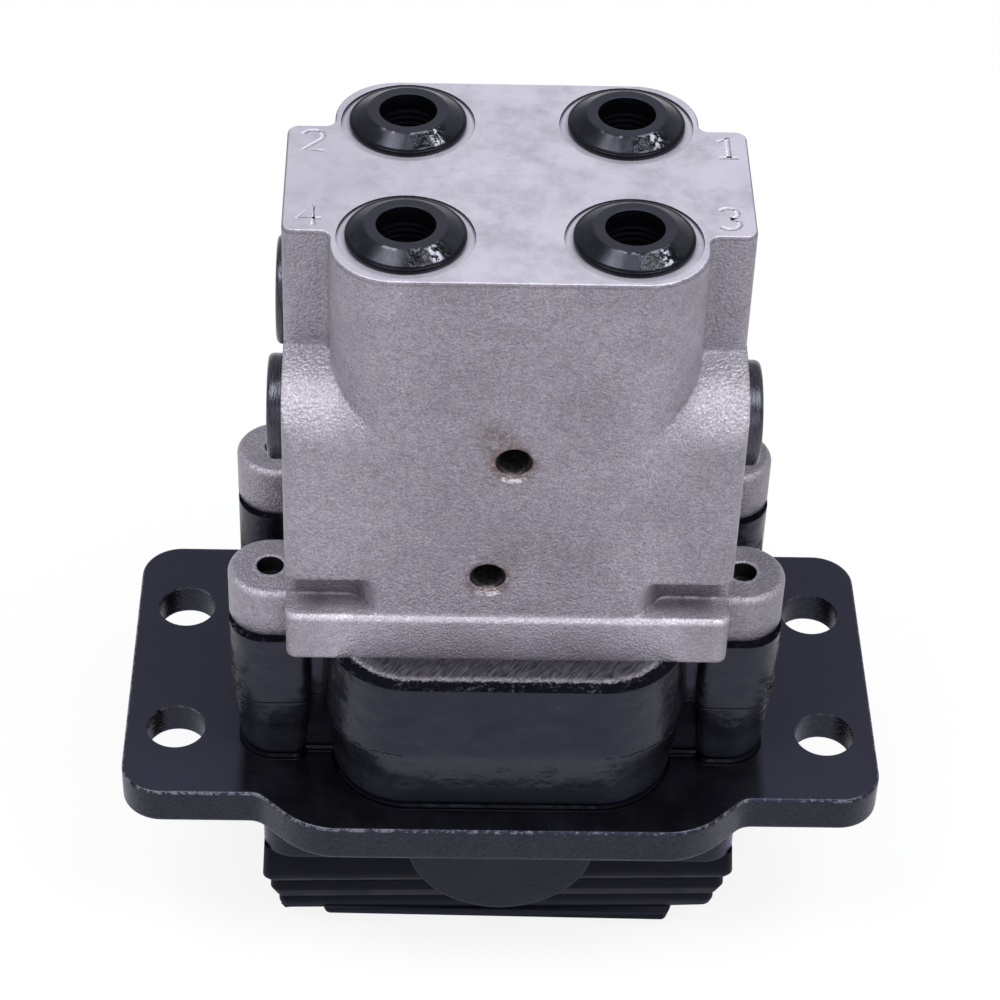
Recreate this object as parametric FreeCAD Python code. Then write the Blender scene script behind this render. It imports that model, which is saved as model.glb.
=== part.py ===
"""Two-pedal hydraulic pilot control valve, modelled as separate pieces.

The valve is drawn as it stands on a bench: its four work ports point up (+Z) and its rubber
boots and pedal pads are underneath. Lengths are millimetres. The origin is the centre of the
four mounting holes, on the plate's upper face. In use the valve is turned over, and this face
seats on the floor panel. X runs along the plate, from port 2 to port 1, and Y runs from the
front row of ports to the rear row.
"""
import FreeCAD
import Part
import functools
import math
import os

Vector = FreeCAD.Vector

# Rows and ports. Port 1 is right rear, 2 left rear, 3 right front, 4 left front.
port_spacing_x = 45.5
port_spacing_y = 40.0
port_places = {
    1: (port_spacing_x / 2, port_spacing_y / 2),
    2: (-port_spacing_x / 2, port_spacing_y / 2),
    3: (port_spacing_x / 2, -port_spacing_y / 2),
    4: (-port_spacing_x / 2, -port_spacing_y / 2),
}
row_places = {"front": -port_spacing_y / 2, "rear": port_spacing_y / 2}

# Heights above the mounting face
joint_height = 38.0
lip_height = 50.0
pocket_height = 60.0
shoulder_height = 107.5
shoulder_rise = 2.5
port_face_height = 139.0

# Cast body
port_wall = 15.2
boss_corner_radius = 13.2
body_half_length = 47.7
body_half_width = port_spacing_y / 2 + port_wall
body_corner_radius = 2.5
wing_half_width = 18.6
wing_root_radius = 2.2
shoulder_edge_radius = 13.0
port_face_edge_radius = 0.7
lip_overhang = 0.9
lip_edge_radius = 1.5
lip_root_radius = 3.0
pocket_depth = 6.4
pocket_inner_x = 33.0
pocket_flare = 5.2
pocket_roof_rise = 6.0
pocket_radius = 3.0

# Ears, corner columns and the four screws that hold the body to the cover
screw_half_x = 51.5
screw_half_y = 20.0
ear_radius = 9.3
screw_radius = 2.95
screw_clearance = 0.35
screw_thread_clearance = 0.05
screw_length = 40.0
screw_head_radius = 5.0
screw_head_height = 6.0
screw_socket_flats = 5.0
screw_tip_depth = 4.0

# Port bores and the plastic shipping plugs in them
spotface_radius = 14.0
spotface_depth = 0.4
port_thread_radius = 7.6
port_thread_depth = 14.0
side_thread_radius = 6.6
side_thread_depth = 12.0
plug_clearance = 0.1
plug_flange_radius = 12.25
plug_rim_height = 1.3
plug_height = 2.9
plug_top_radius = 8.3
plug_shoulder_radius = 10.9
plug_hole_radius = 6.0
plug_wall = 2.0
plug_shank_length = 11.0
side_flange_radius = 11.5
side_shank_length = 9.0
side_rim_chamfer = 0.8
lower_left_plug_height = 4.5
lower_right_plug_height = 6.2
upper_left_plug_height = 1.9

# Passages in the body
tank_height = 78.5
tank_radius = 6.0
tank_cross_radius = 4.0
pressure_height = 110.2
pressure_radius = 4.0
pressure_cross_radius = 2.5
bracket_thread_radius = 3.4
bracket_thread_depth = 16.0
bracket_upper_height = 93.0
bracket_lower_height = 61.2
bracket_lower_x = -4.6
bracket_chamfer = 0.5

# Cover with its mounting plate
plate_thickness = 9.3
plate_half_length = 85.5
plate_wing_half_width = 40.8
plate_half_width = 51.5
plate_corner_radius = 9.2
plate_step_outer_x = 54.5
plate_step_inner_x = 43.5
plate_step_outer_radius = 5.0
plate_step_inner_radius = 18.0
plate_edge_radius = 0.8
mount_edge_distance = 11.5
mount_half_y = 20.0
mount_hole_radius = 6.75
mount_hole_chamfer = 1.6
seam_height = 19.0
foot_height = 1.2
foot_spread = 0.7
core_half_length = 50.0
core_half_width = 28.5
core_radius = 4.0
core_draft = 1.8
column_inner_x = 42.6
column_outer_x = 60.6
column_inner_y = 9.2
column_outer_y = 31.3
column_inner_radius = 3.0
column_outer_radius = 8.0
column_draft = 1.8
bulge_half_length = 40.5
bulge_half_width = 47.2
bulge_radius = 20.0
bulge_lower_draft = 2.8
bulge_upper_draft = 1.2

# Skirt, spigots and pivot bosses under the plate
skirt_depth = 12.7
skirt_half_length = 53.8
skirt_half_width = 39.6
skirt_radius = 7.0
screw_boss_radius = 8.8
spigot_depth = 9.0
spigot_wall_x = 6.85
spigot_wall_y = 2.35
spigot_radius = 6.0
mouth_half_length = 43.5
pivot_drop = 8.0
pivot_boss_radius = 20.9
pivot_boss_setback = 3.5
chamber_half_length = 36.0
chamber_half_width = 12.0
chamber_radius = 5.0
chamber_roof_height = 14.0

# Pivot shaft, its grub screw, the bushes and the cams
shaft_radius = 5.98
shaft_seat_clearance = 0.02
shaft_running_clearance = 0.05
shaft_blind_wall = 4.0
shaft_end_inset = 2.0
lock_screw_radius = 2.95
lock_screw_clearance = 0.05
lock_screw_recess = 1.0
lock_screw_socket_flats = 3.0
bush_wall = 2.0
bush_length = 10.0
cam_side_gap = 0.5
cam_hub_radius = 12.0
cam_half_width = 9.0
cam_arm_half_length = 31.0
cam_arm_top = 5.0
cam_arm_thickness = 12.0
cam_arm_radius = 4.0
cam_neck_half_length = 13.0
pad_half_length = 34.0
pad_thickness = 9.0
pad_depth = 51.5
pad_corner_radius = 4.0
pad_hole_half_spacing = 24.0
pad_hole_radius = 3.4
pad_hole_depth = 14.0

# Adjusting screws and lock nuts in the cam arms
adjuster_radius = 4.0
adjuster_clearance = 0.05
adjuster_dome_radius = 5.0
adjuster_tail = 2.0
rod_gap = 0.3
nut_flats = 13.0
nut_height = 4.0

# Push rods, their guides and seals
rod_tip_height = 3.0
rod_radius = 4.0
rod_running_clearance = 0.04
rod_dome_radius = 8.0
rod_travel = 5.0
guide_radius = 11.95
guide_seat_clearance = 0.05
guide_shoulder_height = 16.0
guide_nose_radius = 8.8
guide_nose_clearance = 0.2
guide_nose_length = 4.0
seal_radius = 6.8
seal_height = 4.5
seal_seat_clearance = 0.1
ring_section_radius = 1.2
ring_groove_half_width = 1.4
ring_groove_depth = 2.45
ring_height = 31.0

# Springs, seats and spools above the push rods
chamber_bore_radius = 11.0
chamber_bore_roof = 80.0
rod_cup_radius = 8.0
rod_cup_bore_radius = 5.0
rod_cup_floor = 1.5
rod_cup_height = 12.3
rod_cup_lift = 1.0
seat_radius = 10.3
seat_thickness = 2.0
seat_rim_radius = 6.3
seat_rim_height = 1.7
seat_hole_clearance = 0.4
return_coil_radius = 8.5
return_wire = 2.0
return_turns = 4.5
metering_coil_radius = 4.5
metering_wire = 1.2
metering_turns = 5.0
spool_radius = 4.47
spool_bore_radius = 4.5
spool_stem_radius = 2.7
spool_button_radius = 4.2
spool_button_height = 2.0
spool_button_lift = 4.5
spool_shoulder_radius = 5.7
spool_shoulder_height = 2.0
spool_shoulder_drop = 4.0
spool_top_drop = 8.0
spool_waist_radius = 3.3
spool_waist_length = 9.0
spool_drill_radius = 2.2
spool_drill_depth = 20.0
spool_cross_radius = 1.5
spring_sides_per_turn = 12

# Rubber boots
boot_collar_wall = 3.0
boot_collar_height = 10.6
boot_seat_clearance = 0.15
boot_wall = 2.2
boot_fold_height = 4.6
boot_fold_inset = 2.0
boot_groove_depth = 1.4
boot_groove_height = 1.1
boot_skin_taper = 1.2
boot_floor_thickness = 2.2
boot_neck_wall_x = 5.2
boot_neck_wall_y = 5.3
boot_neck_height = 3.3
boot_neck_clearance = 0.3
boot_corner_radius = 3.5

# Places worked out from the sizes above
plate_bottom = -plate_thickness
mount_half_x = plate_half_length - mount_edge_distance
pivot_boss_reach = plate_half_width - pivot_boss_setback
skirt_bottom = plate_bottom - skirt_depth
spigot_bottom = skirt_bottom - spigot_depth
pivot_height = -pivot_drop
spigot_half_length = mouth_half_length + spigot_wall_x
spigot_half_width = chamber_half_width + spigot_wall_y
cover_shaft_radius = shaft_radius + shaft_seat_clearance
rod_bore_radius = rod_radius + rod_running_clearance
guide_nose_bottom = guide_shoulder_height - guide_nose_length
guide_bore_radius = guide_radius + guide_seat_clearance
guide_nose_bore_radius = guide_nose_radius + guide_nose_clearance
rod_cup_bottom = joint_height + rod_travel + rod_cup_lift
rod_cup_top = rod_cup_bottom + rod_cup_height
seat_top = rod_cup_top + seat_thickness
seat_rim_top = seat_top + seat_rim_height
button_bottom = rod_cup_bottom + rod_cup_floor + spool_button_lift
button_top = button_bottom + spool_button_height
spool_shoulder_top = chamber_bore_roof - spool_shoulder_drop
spool_shoulder_bottom = spool_shoulder_top - spool_shoulder_height
spool_bore_top = port_face_height - port_thread_depth
spool_top = spool_bore_top - spool_top_drop
screw_tip = lip_height - screw_tip_depth
screw_seat = screw_tip - screw_length
arm_top = pivot_height + cam_arm_top
arm_bottom = arm_top - cam_arm_thickness
pad_bottom = -pad_depth
pad_top = pad_bottom + pad_thickness


def outline(corners, height=0.0):
    """Closed wire round corners given as (x, y, radius), each rounded by its own radius."""
    count = len(corners)
    bends = []
    for index in range(count):
        x, y, radius = corners[index]
        here = Vector(x, y, height)
        before = Vector(corners[index - 1][0], corners[index - 1][1], height)
        after = Vector(corners[(index + 1) % count][0], corners[(index + 1) % count][1], height)
        if radius <= 0:
            bends.append((here, None, here))
            continue
        to_before = (before - here).normalize()
        to_after = (after - here).normalize()
        half_angle = to_before.getAngle(to_after) / 2
        reach = radius / math.tan(half_angle)
        inward = (to_before + to_after).normalize()
        crown = here + inward * (radius / math.sin(half_angle) - radius)
        bends.append((here + to_before * reach, crown, here + to_after * reach))
    edges = []
    for index in range(count):
        enter, crown, leave = bends[index]
        if crown is not None:
            edges.append(Part.Arc(enter, crown, leave).toShape())
        following = bends[(index + 1) % count][0]
        if leave.distanceToPoint(following) > 1e-6:
            edges.append(Part.makeLine(leave, following))
    return Part.Wire(edges)


def rectangle(half_x, half_y, radius, centre_x=0.0, centre_y=0.0):
    """Corners of a rectangle, all rounded by one radius."""
    signs = ((-1, -1), (1, -1), (1, 1), (-1, 1))
    return [(centre_x + sx * half_x, centre_y + sy * half_y, radius) for sx, sy in signs]


def turned_about_centre(half):
    """A half outline and its copy turned by 180 degrees about the origin."""
    return half + [(-x, -y, radius) for x, y, radius in half]


def prism(corners, bottom, top):
    """Solid of one outline between two heights."""
    return Part.Face(outline(corners, bottom)).extrude(Vector(0, 0, top - bottom))


def tapered(levels):
    """Solid with straight walls from each (corners, height) to the next."""
    return Part.makeLoft([outline(corners, height) for corners, height in levels], True, True)


def upright(x, y, bottom, top, radius):
    """Cylinder along Z."""
    return Part.makeCylinder(radius, top - bottom, Vector(x, y, bottom))


def across(x, height, start, end, radius):
    """Cylinder along Y, from y = start to y = end."""
    return Part.makeCylinder(radius, end - start, Vector(x, start, height), Vector(0, 1, 0))


def lengthways(y, height, start, end, radius):
    """Cylinder along X, from x = start to x = end."""
    return Part.makeCylinder(radius, end - start, Vector(start, y, height), Vector(1, 0, 0))


def turned(points, x=0.0, y=0.0):
    """Solid turned about the vertical axis through (x, y), from (radius, height) points."""
    corners = [Vector(x + radius, y, height) for radius, height in points]
    face = Part.Face(Part.makePolygon(corners + corners[:1]))
    return face.revolve(Vector(x, y, 0), Vector(0, 0, 1), 360)


def hexagon(x, y, bottom, top, flats):
    """Hexagonal prism measured across its flats."""
    corner_radius = flats / math.sqrt(3)
    angles = [math.radians(60 * step) for step in range(6)]
    corners = [(x + corner_radius * math.cos(a), y + corner_radius * math.sin(a), 0) for a in angles]
    return prism(corners, bottom, top)


def domed_pin(x, y, flat_end, dome_end, radius, dome_radius):
    """Round pin with one flat end and one domed end."""
    way = 1 if dome_end > flat_end else -1
    drop = dome_radius - math.sqrt(dome_radius ** 2 - radius ** 2)
    mid_angle = math.asin(radius / dome_radius) / 2
    mid_drop = dome_radius * (1 - math.cos(mid_angle))
    shoulder = Vector(x + radius, y, dome_end - way * drop)
    middle = Vector(x + dome_radius * math.sin(mid_angle), y, dome_end - way * mid_drop)
    tip = Vector(x, y, dome_end)
    foot = Vector(x, y, flat_end)
    rim = Vector(x + radius, y, flat_end)
    edges = [Part.makeLine(foot, rim), Part.makeLine(rim, shoulder)]
    edges += [Part.Arc(shoulder, middle, tip).toShape(), Part.makeLine(tip, foot)]
    return Part.Face(Part.Wire(edges)).revolve(Vector(x, y, 0), Vector(0, 0, 1), 360)


def joined(solids):
    """One solid from touching or overlapping ones, with the seams between flat faces removed."""
    return solids[0].fuse(solids[1:]).removeSplitter()


def corner_places(half_x, half_y):
    """The four places (x, y) of a rectangular pattern."""
    return [(sx * half_x, sy * half_y) for sx in (-1, 1) for sy in (-1, 1)]


def body_outline():
    """Outline of the port face: two wings and a block rounded round the ports."""
    boss_x = port_spacing_x / 2 + port_wall
    half = [
        (boss_x, -body_half_width, boss_corner_radius),
        (boss_x, -wing_half_width, wing_root_radius),
        (body_half_length, -wing_half_width, body_corner_radius),
        (body_half_length, wing_half_width, body_corner_radius),
        (boss_x, wing_half_width, wing_root_radius),
        (boss_x, body_half_width, boss_corner_radius),
    ]
    return turned_about_centre(half)


def body_shoulder():
    """Lower block of the body, with the sloping shoulders beside the port bosses."""
    top = shoulder_height + shoulder_rise
    section = [
        (-body_half_width, joint_height, 0),
        (body_half_width, joint_height, 0),
        (body_half_width, shoulder_height, shoulder_edge_radius),
        (wing_half_width, top, 0),
        (-wing_half_width, top, 0),
        (-body_half_width, shoulder_height, shoulder_edge_radius),
    ]
    face = Part.Face(outline(section))
    face.rotate(Vector(0, 0, 0), Vector(1, 1, 1), 120)
    face.translate(Vector(-body_half_length, 0, 0))
    block = face.extrude(Vector(2 * body_half_length, 0, 0))
    plan = rectangle(body_half_length, body_half_width, body_corner_radius)
    return block.common(prism(plan, joint_height, top))


def body_lip():
    """Lip round the foot of the body, with its four ears."""
    plan = rectangle(body_half_length, body_half_width + lip_overhang, body_corner_radius)
    pieces = [prism(plan, joint_height, lip_height)]
    for x, y in corner_places(screw_half_x, screw_half_y):
        inner = body_half_length - ear_radius
        centre = math.copysign((inner + screw_half_x) / 2, x)
        bar = rectangle((screw_half_x - inner) / 2, ear_radius, 0, centre, y)
        pieces.append(prism(bar, joint_height, lip_height))
        pieces.append(upright(x, y, joint_height, lip_height, ear_radius))
    lip = joined(pieces)
    rim = [edge for edge in lip.Edges if edge.BoundBox.ZMin > lip_height - 0.01]
    return lip.makeFillet(lip_edge_radius, rim)


def lip_root():
    """Fillet between the front face of the body and the rounded edge of its lip."""
    edge_y = body_half_width + lip_overhang - lip_edge_radius
    edge_z = lip_height - lip_edge_radius
    root_y = body_half_width + lip_root_radius
    reach = lip_edge_radius + lip_root_radius
    root_z = edge_z + math.sqrt(reach ** 2 - (root_y - edge_y) ** 2)
    share = lip_edge_radius / reach
    start = Vector(0, -body_half_width, root_z)
    end = Vector(0, -edge_y - (root_y - edge_y) * share, edge_z + (root_z - edge_z) * share)
    centre = Vector(0, -root_y, root_z)
    middle = centre + ((start + end) * 0.5 - centre).normalize() * lip_root_radius
    inside = Vector(0, -edge_y, edge_z)
    edges = [Part.Arc(start, middle, end).toShape(), Part.makeLine(end, inside)]
    edges.append(Part.makeLine(inside, start))
    face = Part.Face(Part.Wire(edges))
    face.translate(Vector(-pocket_inner_x, 0, 0))
    front = face.extrude(Vector(2 * pocket_inner_x, 0, 0))
    rear = front.copy()
    rear.rotate(Vector(0, 0, 0), Vector(0, 0, 1), 180)
    return [front, rear]


def pocket_outline(side_x, side_y, flare):
    """Outline of a pocket whose inner end opens towards the front by the flare."""
    front = body_half_width
    back = body_half_width - pocket_depth
    outer = body_half_length + 1
    mouth = pocket_inner_x - flare
    return [
        (side_x * outer, side_y * (front + 1), 0),
        (side_x * (mouth - pocket_flare), side_y * (front + 1), 0),
        (side_x * (mouth - pocket_flare), side_y * front, 0),
        (side_x * mouth, side_y * front, pocket_radius),
        (side_x * pocket_inner_x, side_y * back, pocket_radius),
        (side_x * outer, side_y * back, 0),
    ]


def body_pocket(side_x, side_y):
    """Pocket over one end of the lip, with a flared end that rounds into the roof."""
    levels = [(pocket_outline(side_x, side_y, pocket_flare), lip_height)]
    for degrees in (0, 30, 55, 75, 88):
        angle = math.radians(degrees)
        height = pocket_height - pocket_roof_rise * (1 - math.sin(angle))
        levels.append((pocket_outline(side_x, side_y, pocket_flare * math.cos(angle)), height))
    return tapered(levels)


def body_bores():
    """Everything that is drilled in the body."""
    cuts = []
    for x, y in port_places.values():
        spot_floor = port_face_height - spotface_depth
        cuts.append(upright(x, y, spot_floor, port_face_height + 1, spotface_radius))
        cuts.append(upright(x, y, spool_bore_top, port_face_height, port_thread_radius))
        cuts.append(upright(x, y, chamber_bore_roof - 1, spool_bore_top + 1, spool_bore_radius))
        cuts.append(upright(x, y, joint_height - 1, chamber_bore_roof, chamber_bore_radius))
    end = body_half_length + 1
    cuts.append(lengthways(0, tank_height, -end, end, tank_radius))
    cuts.append(lengthways(0, pressure_height, -end, port_spacing_x / 2 + pressure_radius, pressure_radius))
    for side, height in ((-1, tank_height), (1, tank_height), (-1, pressure_height)):
        deep = side * (body_half_length - side_thread_depth)
        start, stop = sorted((deep, side * end))
        cuts.append(lengthways(0, height, start, stop, side_thread_radius))
    reach = port_spacing_y / 2
    for x in (-port_spacing_x / 2, port_spacing_x / 2):
        cross = chamber_bore_roof - tank_cross_radius
        cuts.append(across(x, cross, -reach, reach, tank_cross_radius))
        cuts.append(across(x, pressure_height, -reach, reach, pressure_cross_radius))
    front = -body_half_width
    for x, height in ((0, bracket_upper_height), (bracket_lower_x, bracket_lower_height)):
        cuts.append(across(x, height, front - 1, front + bracket_thread_depth, bracket_thread_radius))
        mouth = bracket_thread_radius + bracket_chamfer
        place = Vector(x, front, height)
        cuts.append(Part.makeCone(mouth, bracket_thread_radius, bracket_chamfer, place, Vector(0, 1, 0)))
    hole = screw_radius + screw_thread_clearance
    for x, y in corner_places(screw_half_x, screw_half_y):
        cuts.append(upright(x, y, joint_height - 1, lip_height + 1, hole))
    return cuts


def valve_body():
    """Cast aluminium body with its ports, spring chambers, passages, lip and ears."""
    upper = prism(body_outline(), shoulder_height - shoulder_edge_radius, port_face_height)
    rim = [edge for edge in upper.Edges if edge.BoundBox.ZMin > port_face_height - 0.01]
    upper = upper.makeFillet(port_face_edge_radius, rim)
    body = joined([body_shoulder(), upper, body_lip()] + lip_root())
    pockets = [body_pocket(sx, sy) for sx in (-1, 1) for sy in (-1, 1)]
    return body.cut(pockets + body_bores())


def port_plug(x, y):
    """Plastic shipping plug: flange with a rim, a cone, a blind hole and a shank."""
    seat = port_face_height - spotface_depth
    rim = seat + plug_rim_height
    top = seat + plug_height
    shank = seat - plug_shank_length
    shank_radius = port_thread_radius - plug_clearance
    points = [
        (0, shank), (shank_radius, shank), (shank_radius, seat), (plug_flange_radius, seat),
        (plug_flange_radius, rim), (plug_shoulder_radius, rim), (plug_top_radius, top),
        (plug_hole_radius, top), (plug_hole_radius, shank + plug_wall), (0, shank + plug_wall),
    ]
    return turned(points, x, y)


def side_plug(side, height, stand_out):
    """Plastic shipping plug of a port on the side of the body."""
    shank_radius = side_thread_radius - plug_clearance
    points = [
        (0, -side_shank_length), (shank_radius, -side_shank_length), (shank_radius, 0),
        (side_flange_radius, 0), (side_flange_radius, stand_out - side_rim_chamfer),
        (side_flange_radius - side_rim_chamfer, stand_out), (0, stand_out),
    ]
    plug = turned(points)
    plug.rotate(Vector(0, 0, 0), Vector(0, 1, 0), side * 90)
    plug.translate(Vector(side * body_half_length, 0, height))
    return plug


def plate_outline():
    """Outline of the mounting plate: narrow wings and a wide middle, joined by S-curves."""
    half = [
        (plate_step_inner_x, -plate_half_width, plate_step_inner_radius),
        (plate_step_outer_x, -plate_wing_half_width, plate_step_outer_radius),
        (plate_half_length, -plate_wing_half_width, plate_corner_radius),
        (plate_half_length, plate_wing_half_width, plate_corner_radius),
        (plate_step_outer_x, plate_wing_half_width, plate_step_outer_radius),
        (plate_step_inner_x, plate_half_width, plate_step_inner_radius),
    ]
    return turned_about_centre(half)


def mounting_plate():
    """Flat plate with softly rounded edges and four mounting holes."""
    plate = prism(plate_outline(), plate_bottom, 0)
    rims = [edge for edge in plate.Edges if edge.BoundBox.ZLength < 0.01]
    plate = plate.makeFillet(plate_edge_radius, rims)
    holes = []
    for x, y in corner_places(mount_half_x, mount_half_y):
        mouth = mount_hole_radius + mount_hole_chamfer
        holes.append(upright(x, y, plate_bottom - 1, 1, mount_hole_radius))
        low_end = Vector(x, y, plate_bottom)
        holes.append(Part.makeCone(mouth, mount_hole_radius, mount_hole_chamfer, low_end))
    return plate.cut(holes)


def cast_form(corners_at, lower_draft, upper_draft):
    """Cast form on the plate, widest at the parting seam and spread again at its foot."""
    insets = (
        (lower_draft - foot_spread, 0),
        (lower_draft, foot_height),
        (0, seam_height),
        (upper_draft, joint_height),
    )
    return tapered([(corners_at(inset), height) for inset, height in insets])


def core_corners(inset):
    """Outline of the block between the columns, drawn in by an inset."""
    return rectangle(core_half_length - inset, core_half_width - inset, core_radius)


def bulge_corners(inset):
    """Outline of the rounded block that stands out in front and behind."""
    radius = bulge_radius - inset
    return rectangle(bulge_half_length - inset, bulge_half_width - inset, radius)


def column_corners(side_x, side_y, inset):
    """Outline of one corner column, which is rounded more on its outer side."""
    inner = side_x * (column_inner_x + inset)
    outer = side_x * (column_outer_x - inset)
    near = side_y * (column_inner_y + inset)
    far = side_y * (column_outer_y - inset)
    return [
        (inner, near, column_inner_radius), (outer, near, column_outer_radius),
        (outer, far, column_outer_radius), (inner, far, column_inner_radius),
    ]


def cover_above_plate():
    """Core, front and rear bulge and the four corner columns."""
    forms = [
        cast_form(core_corners, core_draft, 0),
        cast_form(bulge_corners, bulge_lower_draft, bulge_upper_draft),
    ]
    for sx, sy in corner_places(1, 1):
        forms.append(cast_form(functools.partial(column_corners, sx, sy), column_draft, 0))
    return forms


def cover_below_plate():
    """Skirt, screw bosses, spigots for the boots and the half-round pivot bosses."""
    skirt_plan = rectangle(skirt_half_length, skirt_half_width, skirt_radius)
    forms = [prism(skirt_plan, skirt_bottom, plate_bottom)]
    for x, y in corner_places(screw_half_x, screw_half_y):
        forms.append(upright(x, y, skirt_bottom, plate_bottom, screw_boss_radius))
    for row in row_places.values():
        plan = rectangle(spigot_half_length, spigot_half_width, spigot_radius, 0, row)
        forms.append(prism(plan, spigot_bottom, skirt_bottom))
    below = pivot_boss_radius + pivot_drop
    corner = Vector(-plate_half_length, -plate_half_width, plate_bottom / 2 - below)
    lower_half = Part.makeBox(2 * plate_half_length, 2 * plate_half_width, below, corner)
    for start, end in ((-pivot_boss_reach, -skirt_half_width), (skirt_half_width, pivot_boss_reach)):
        boss = across(0, pivot_height, start, end, pivot_boss_radius)
        forms.append(boss.common(lower_half))
    return forms


def cover_cuts():
    """Cam chambers and their mouths, guide bores, screw holes, shaft bore and grub screw hole."""
    cuts = []
    for row in row_places.values():
        chamber = rectangle(chamber_half_length, chamber_half_width, chamber_radius, 0, row)
        cuts.append(prism(chamber, plate_bottom - 1, chamber_roof_height))
        mouth = rectangle(mouth_half_length, chamber_half_width, chamber_radius, 0, row)
        cuts.append(prism(mouth, spigot_bottom - 1, plate_bottom))
    for x, y in port_places.values():
        nose_top = guide_shoulder_height + 1
        cuts.append(upright(x, y, chamber_roof_height - 1, nose_top, guide_nose_bore_radius))
        cuts.append(upright(x, y, guide_shoulder_height, joint_height + 1, guide_bore_radius))
    for x, y in corner_places(screw_half_x, screw_half_y):
        head_room = screw_head_radius + screw_clearance
        cuts.append(upright(x, y, spigot_bottom - 1, screw_seat, head_room))
        cuts.append(upright(x, y, screw_seat - 1, joint_height + 1, screw_radius + screw_clearance))
    blind_end = -pivot_boss_reach + shaft_blind_wall
    cuts.append(across(0, pivot_height, blind_end, pivot_boss_reach + 1, cover_shaft_radius))
    lock_hole = lock_screw_radius + lock_screw_clearance
    cuts.append(upright(0, lock_screw_y(), pivot_height - pivot_boss_radius - 1, pivot_height, lock_hole))
    return cuts


def cover_housing():
    """Cast iron cover: mounting plate, upper forms, skirt, spigots and pivot bosses in one."""
    forms = [mounting_plate()] + cover_above_plate() + cover_below_plate()
    return joined(forms).cut(cover_cuts())


def lock_screw_y():
    """The grub screw stands in the middle of the rear pivot boss."""
    return (skirt_half_width + pivot_boss_reach) / 2


def shaft_lock_screw():
    """Grub screw with a hexagon socket, pressed against the shaft from below."""
    top = pivot_height - shaft_radius
    bottom = pivot_height - pivot_boss_radius + lock_screw_recess
    screw = upright(0, lock_screw_y(), bottom, top, lock_screw_radius)
    socket = hexagon(0, lock_screw_y(), bottom - 1, bottom + lock_screw_radius, lock_screw_socket_flats)
    return screw.cut(socket)


def pivot_shaft():
    """Ground steel shaft through both cams, from the blind front seat to the rear boss."""
    start = -pivot_boss_reach + shaft_blind_wall
    return across(0, pivot_height, start, pivot_boss_reach - shaft_end_inset, shaft_radius)


def cover_screws():
    """Four socket head screws, seated in the cover and threaded into the ears."""
    screws = []
    for x, y in corner_places(screw_half_x, screw_half_y):
        head = upright(x, y, screw_seat - screw_head_height, screw_seat, screw_head_radius)
        shank = upright(x, y, screw_seat, screw_tip, screw_radius)
        socket_top = screw_seat - screw_head_height / 2
        socket = hexagon(x, y, screw_seat - screw_head_height - 1, socket_top, screw_socket_flats)
        screws.append(head.fuse(shank).cut(socket))
    return Part.makeCompound(screws)


def cam(row):
    """Rocking cam: hub on the shaft, two arms under the push rods, neck and pedal pad."""
    arms = [
        (-cam_arm_half_length, arm_bottom, cam_arm_radius),
        (cam_arm_half_length, arm_bottom, cam_arm_radius),
        (cam_arm_half_length, arm_top, cam_arm_radius),
        (-cam_arm_half_length, arm_top, cam_arm_radius),
    ]
    neck_bottom = arm_bottom - cam_hub_radius
    neck_right = [
        (pad_half_length, pad_bottom, 0),
        (pad_half_length, pad_top, 0),
        (cam_neck_half_length, neck_bottom, cam_hub_radius / 2),
        (cam_neck_half_length, arm_bottom, 0),
    ]
    neck_left = [(-x, height, radius) for x, height, radius in reversed(neck_right)]
    solids = []
    for corners in (arms, neck_right + neck_left):
        face = Part.Face(outline(corners))
        face.rotate(Vector(0, 0, 0), Vector(1, 0, 0), 90)
        face.translate(Vector(0, row - cam_half_width, 0))
        solids.append(face.extrude(Vector(0, 2 * cam_half_width, 0)))
    plan = rectangle(pad_half_length, cam_half_width, pad_corner_radius, 0, row)
    trimmed = solids[0].fuse(solids[1]).common(prism(plan, pad_bottom, arm_top))
    hub_half = chamber_half_width - cam_side_gap
    hub = across(0, pivot_height, row - hub_half, row + hub_half, cam_hub_radius)
    bore = across(0, pivot_height, row - hub_half - 1, row + hub_half + 1, bush_outer_radius())
    cuts = [bore]
    for x in (-port_spacing_x / 2, port_spacing_x / 2):
        cuts.append(upright(x, row, arm_bottom - 1, arm_top + 1, adjuster_radius + adjuster_clearance))
    for x in (-pad_hole_half_spacing, pad_hole_half_spacing):
        cuts.append(upright(x, row, pad_bottom - 1, pad_bottom + pad_hole_depth, pad_hole_radius))
    return joined([trimmed, hub]).cut(cuts)


def bush_outer_radius():
    """The bushes fill the bore of the cam."""
    return shaft_radius + shaft_running_clearance + bush_wall


def cam_bushes(row):
    """Two plain bearing bushes, one at each end of the cam's hub."""
    hub_half = chamber_half_width - cam_side_gap
    inner = shaft_radius + shaft_running_clearance
    bushes = []
    for start in (row - hub_half, row + hub_half - bush_length):
        sleeve = across(0, pivot_height, start, start + bush_length, bush_outer_radius())
        bushes.append(sleeve.cut(across(0, pivot_height, start - 1, start + bush_length + 1, inner)))
    return Part.makeCompound(bushes)


def adjusting_screws(row):
    """Two domed screws that carry the push rods of one row."""
    tip = rod_tip_height - rod_gap
    tail = arm_bottom - adjuster_tail
    places = (-port_spacing_x / 2, port_spacing_x / 2)
    pins = [domed_pin(x, row, tail, tip, adjuster_radius, adjuster_dome_radius) for x in places]
    return Part.makeCompound(pins)


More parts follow.
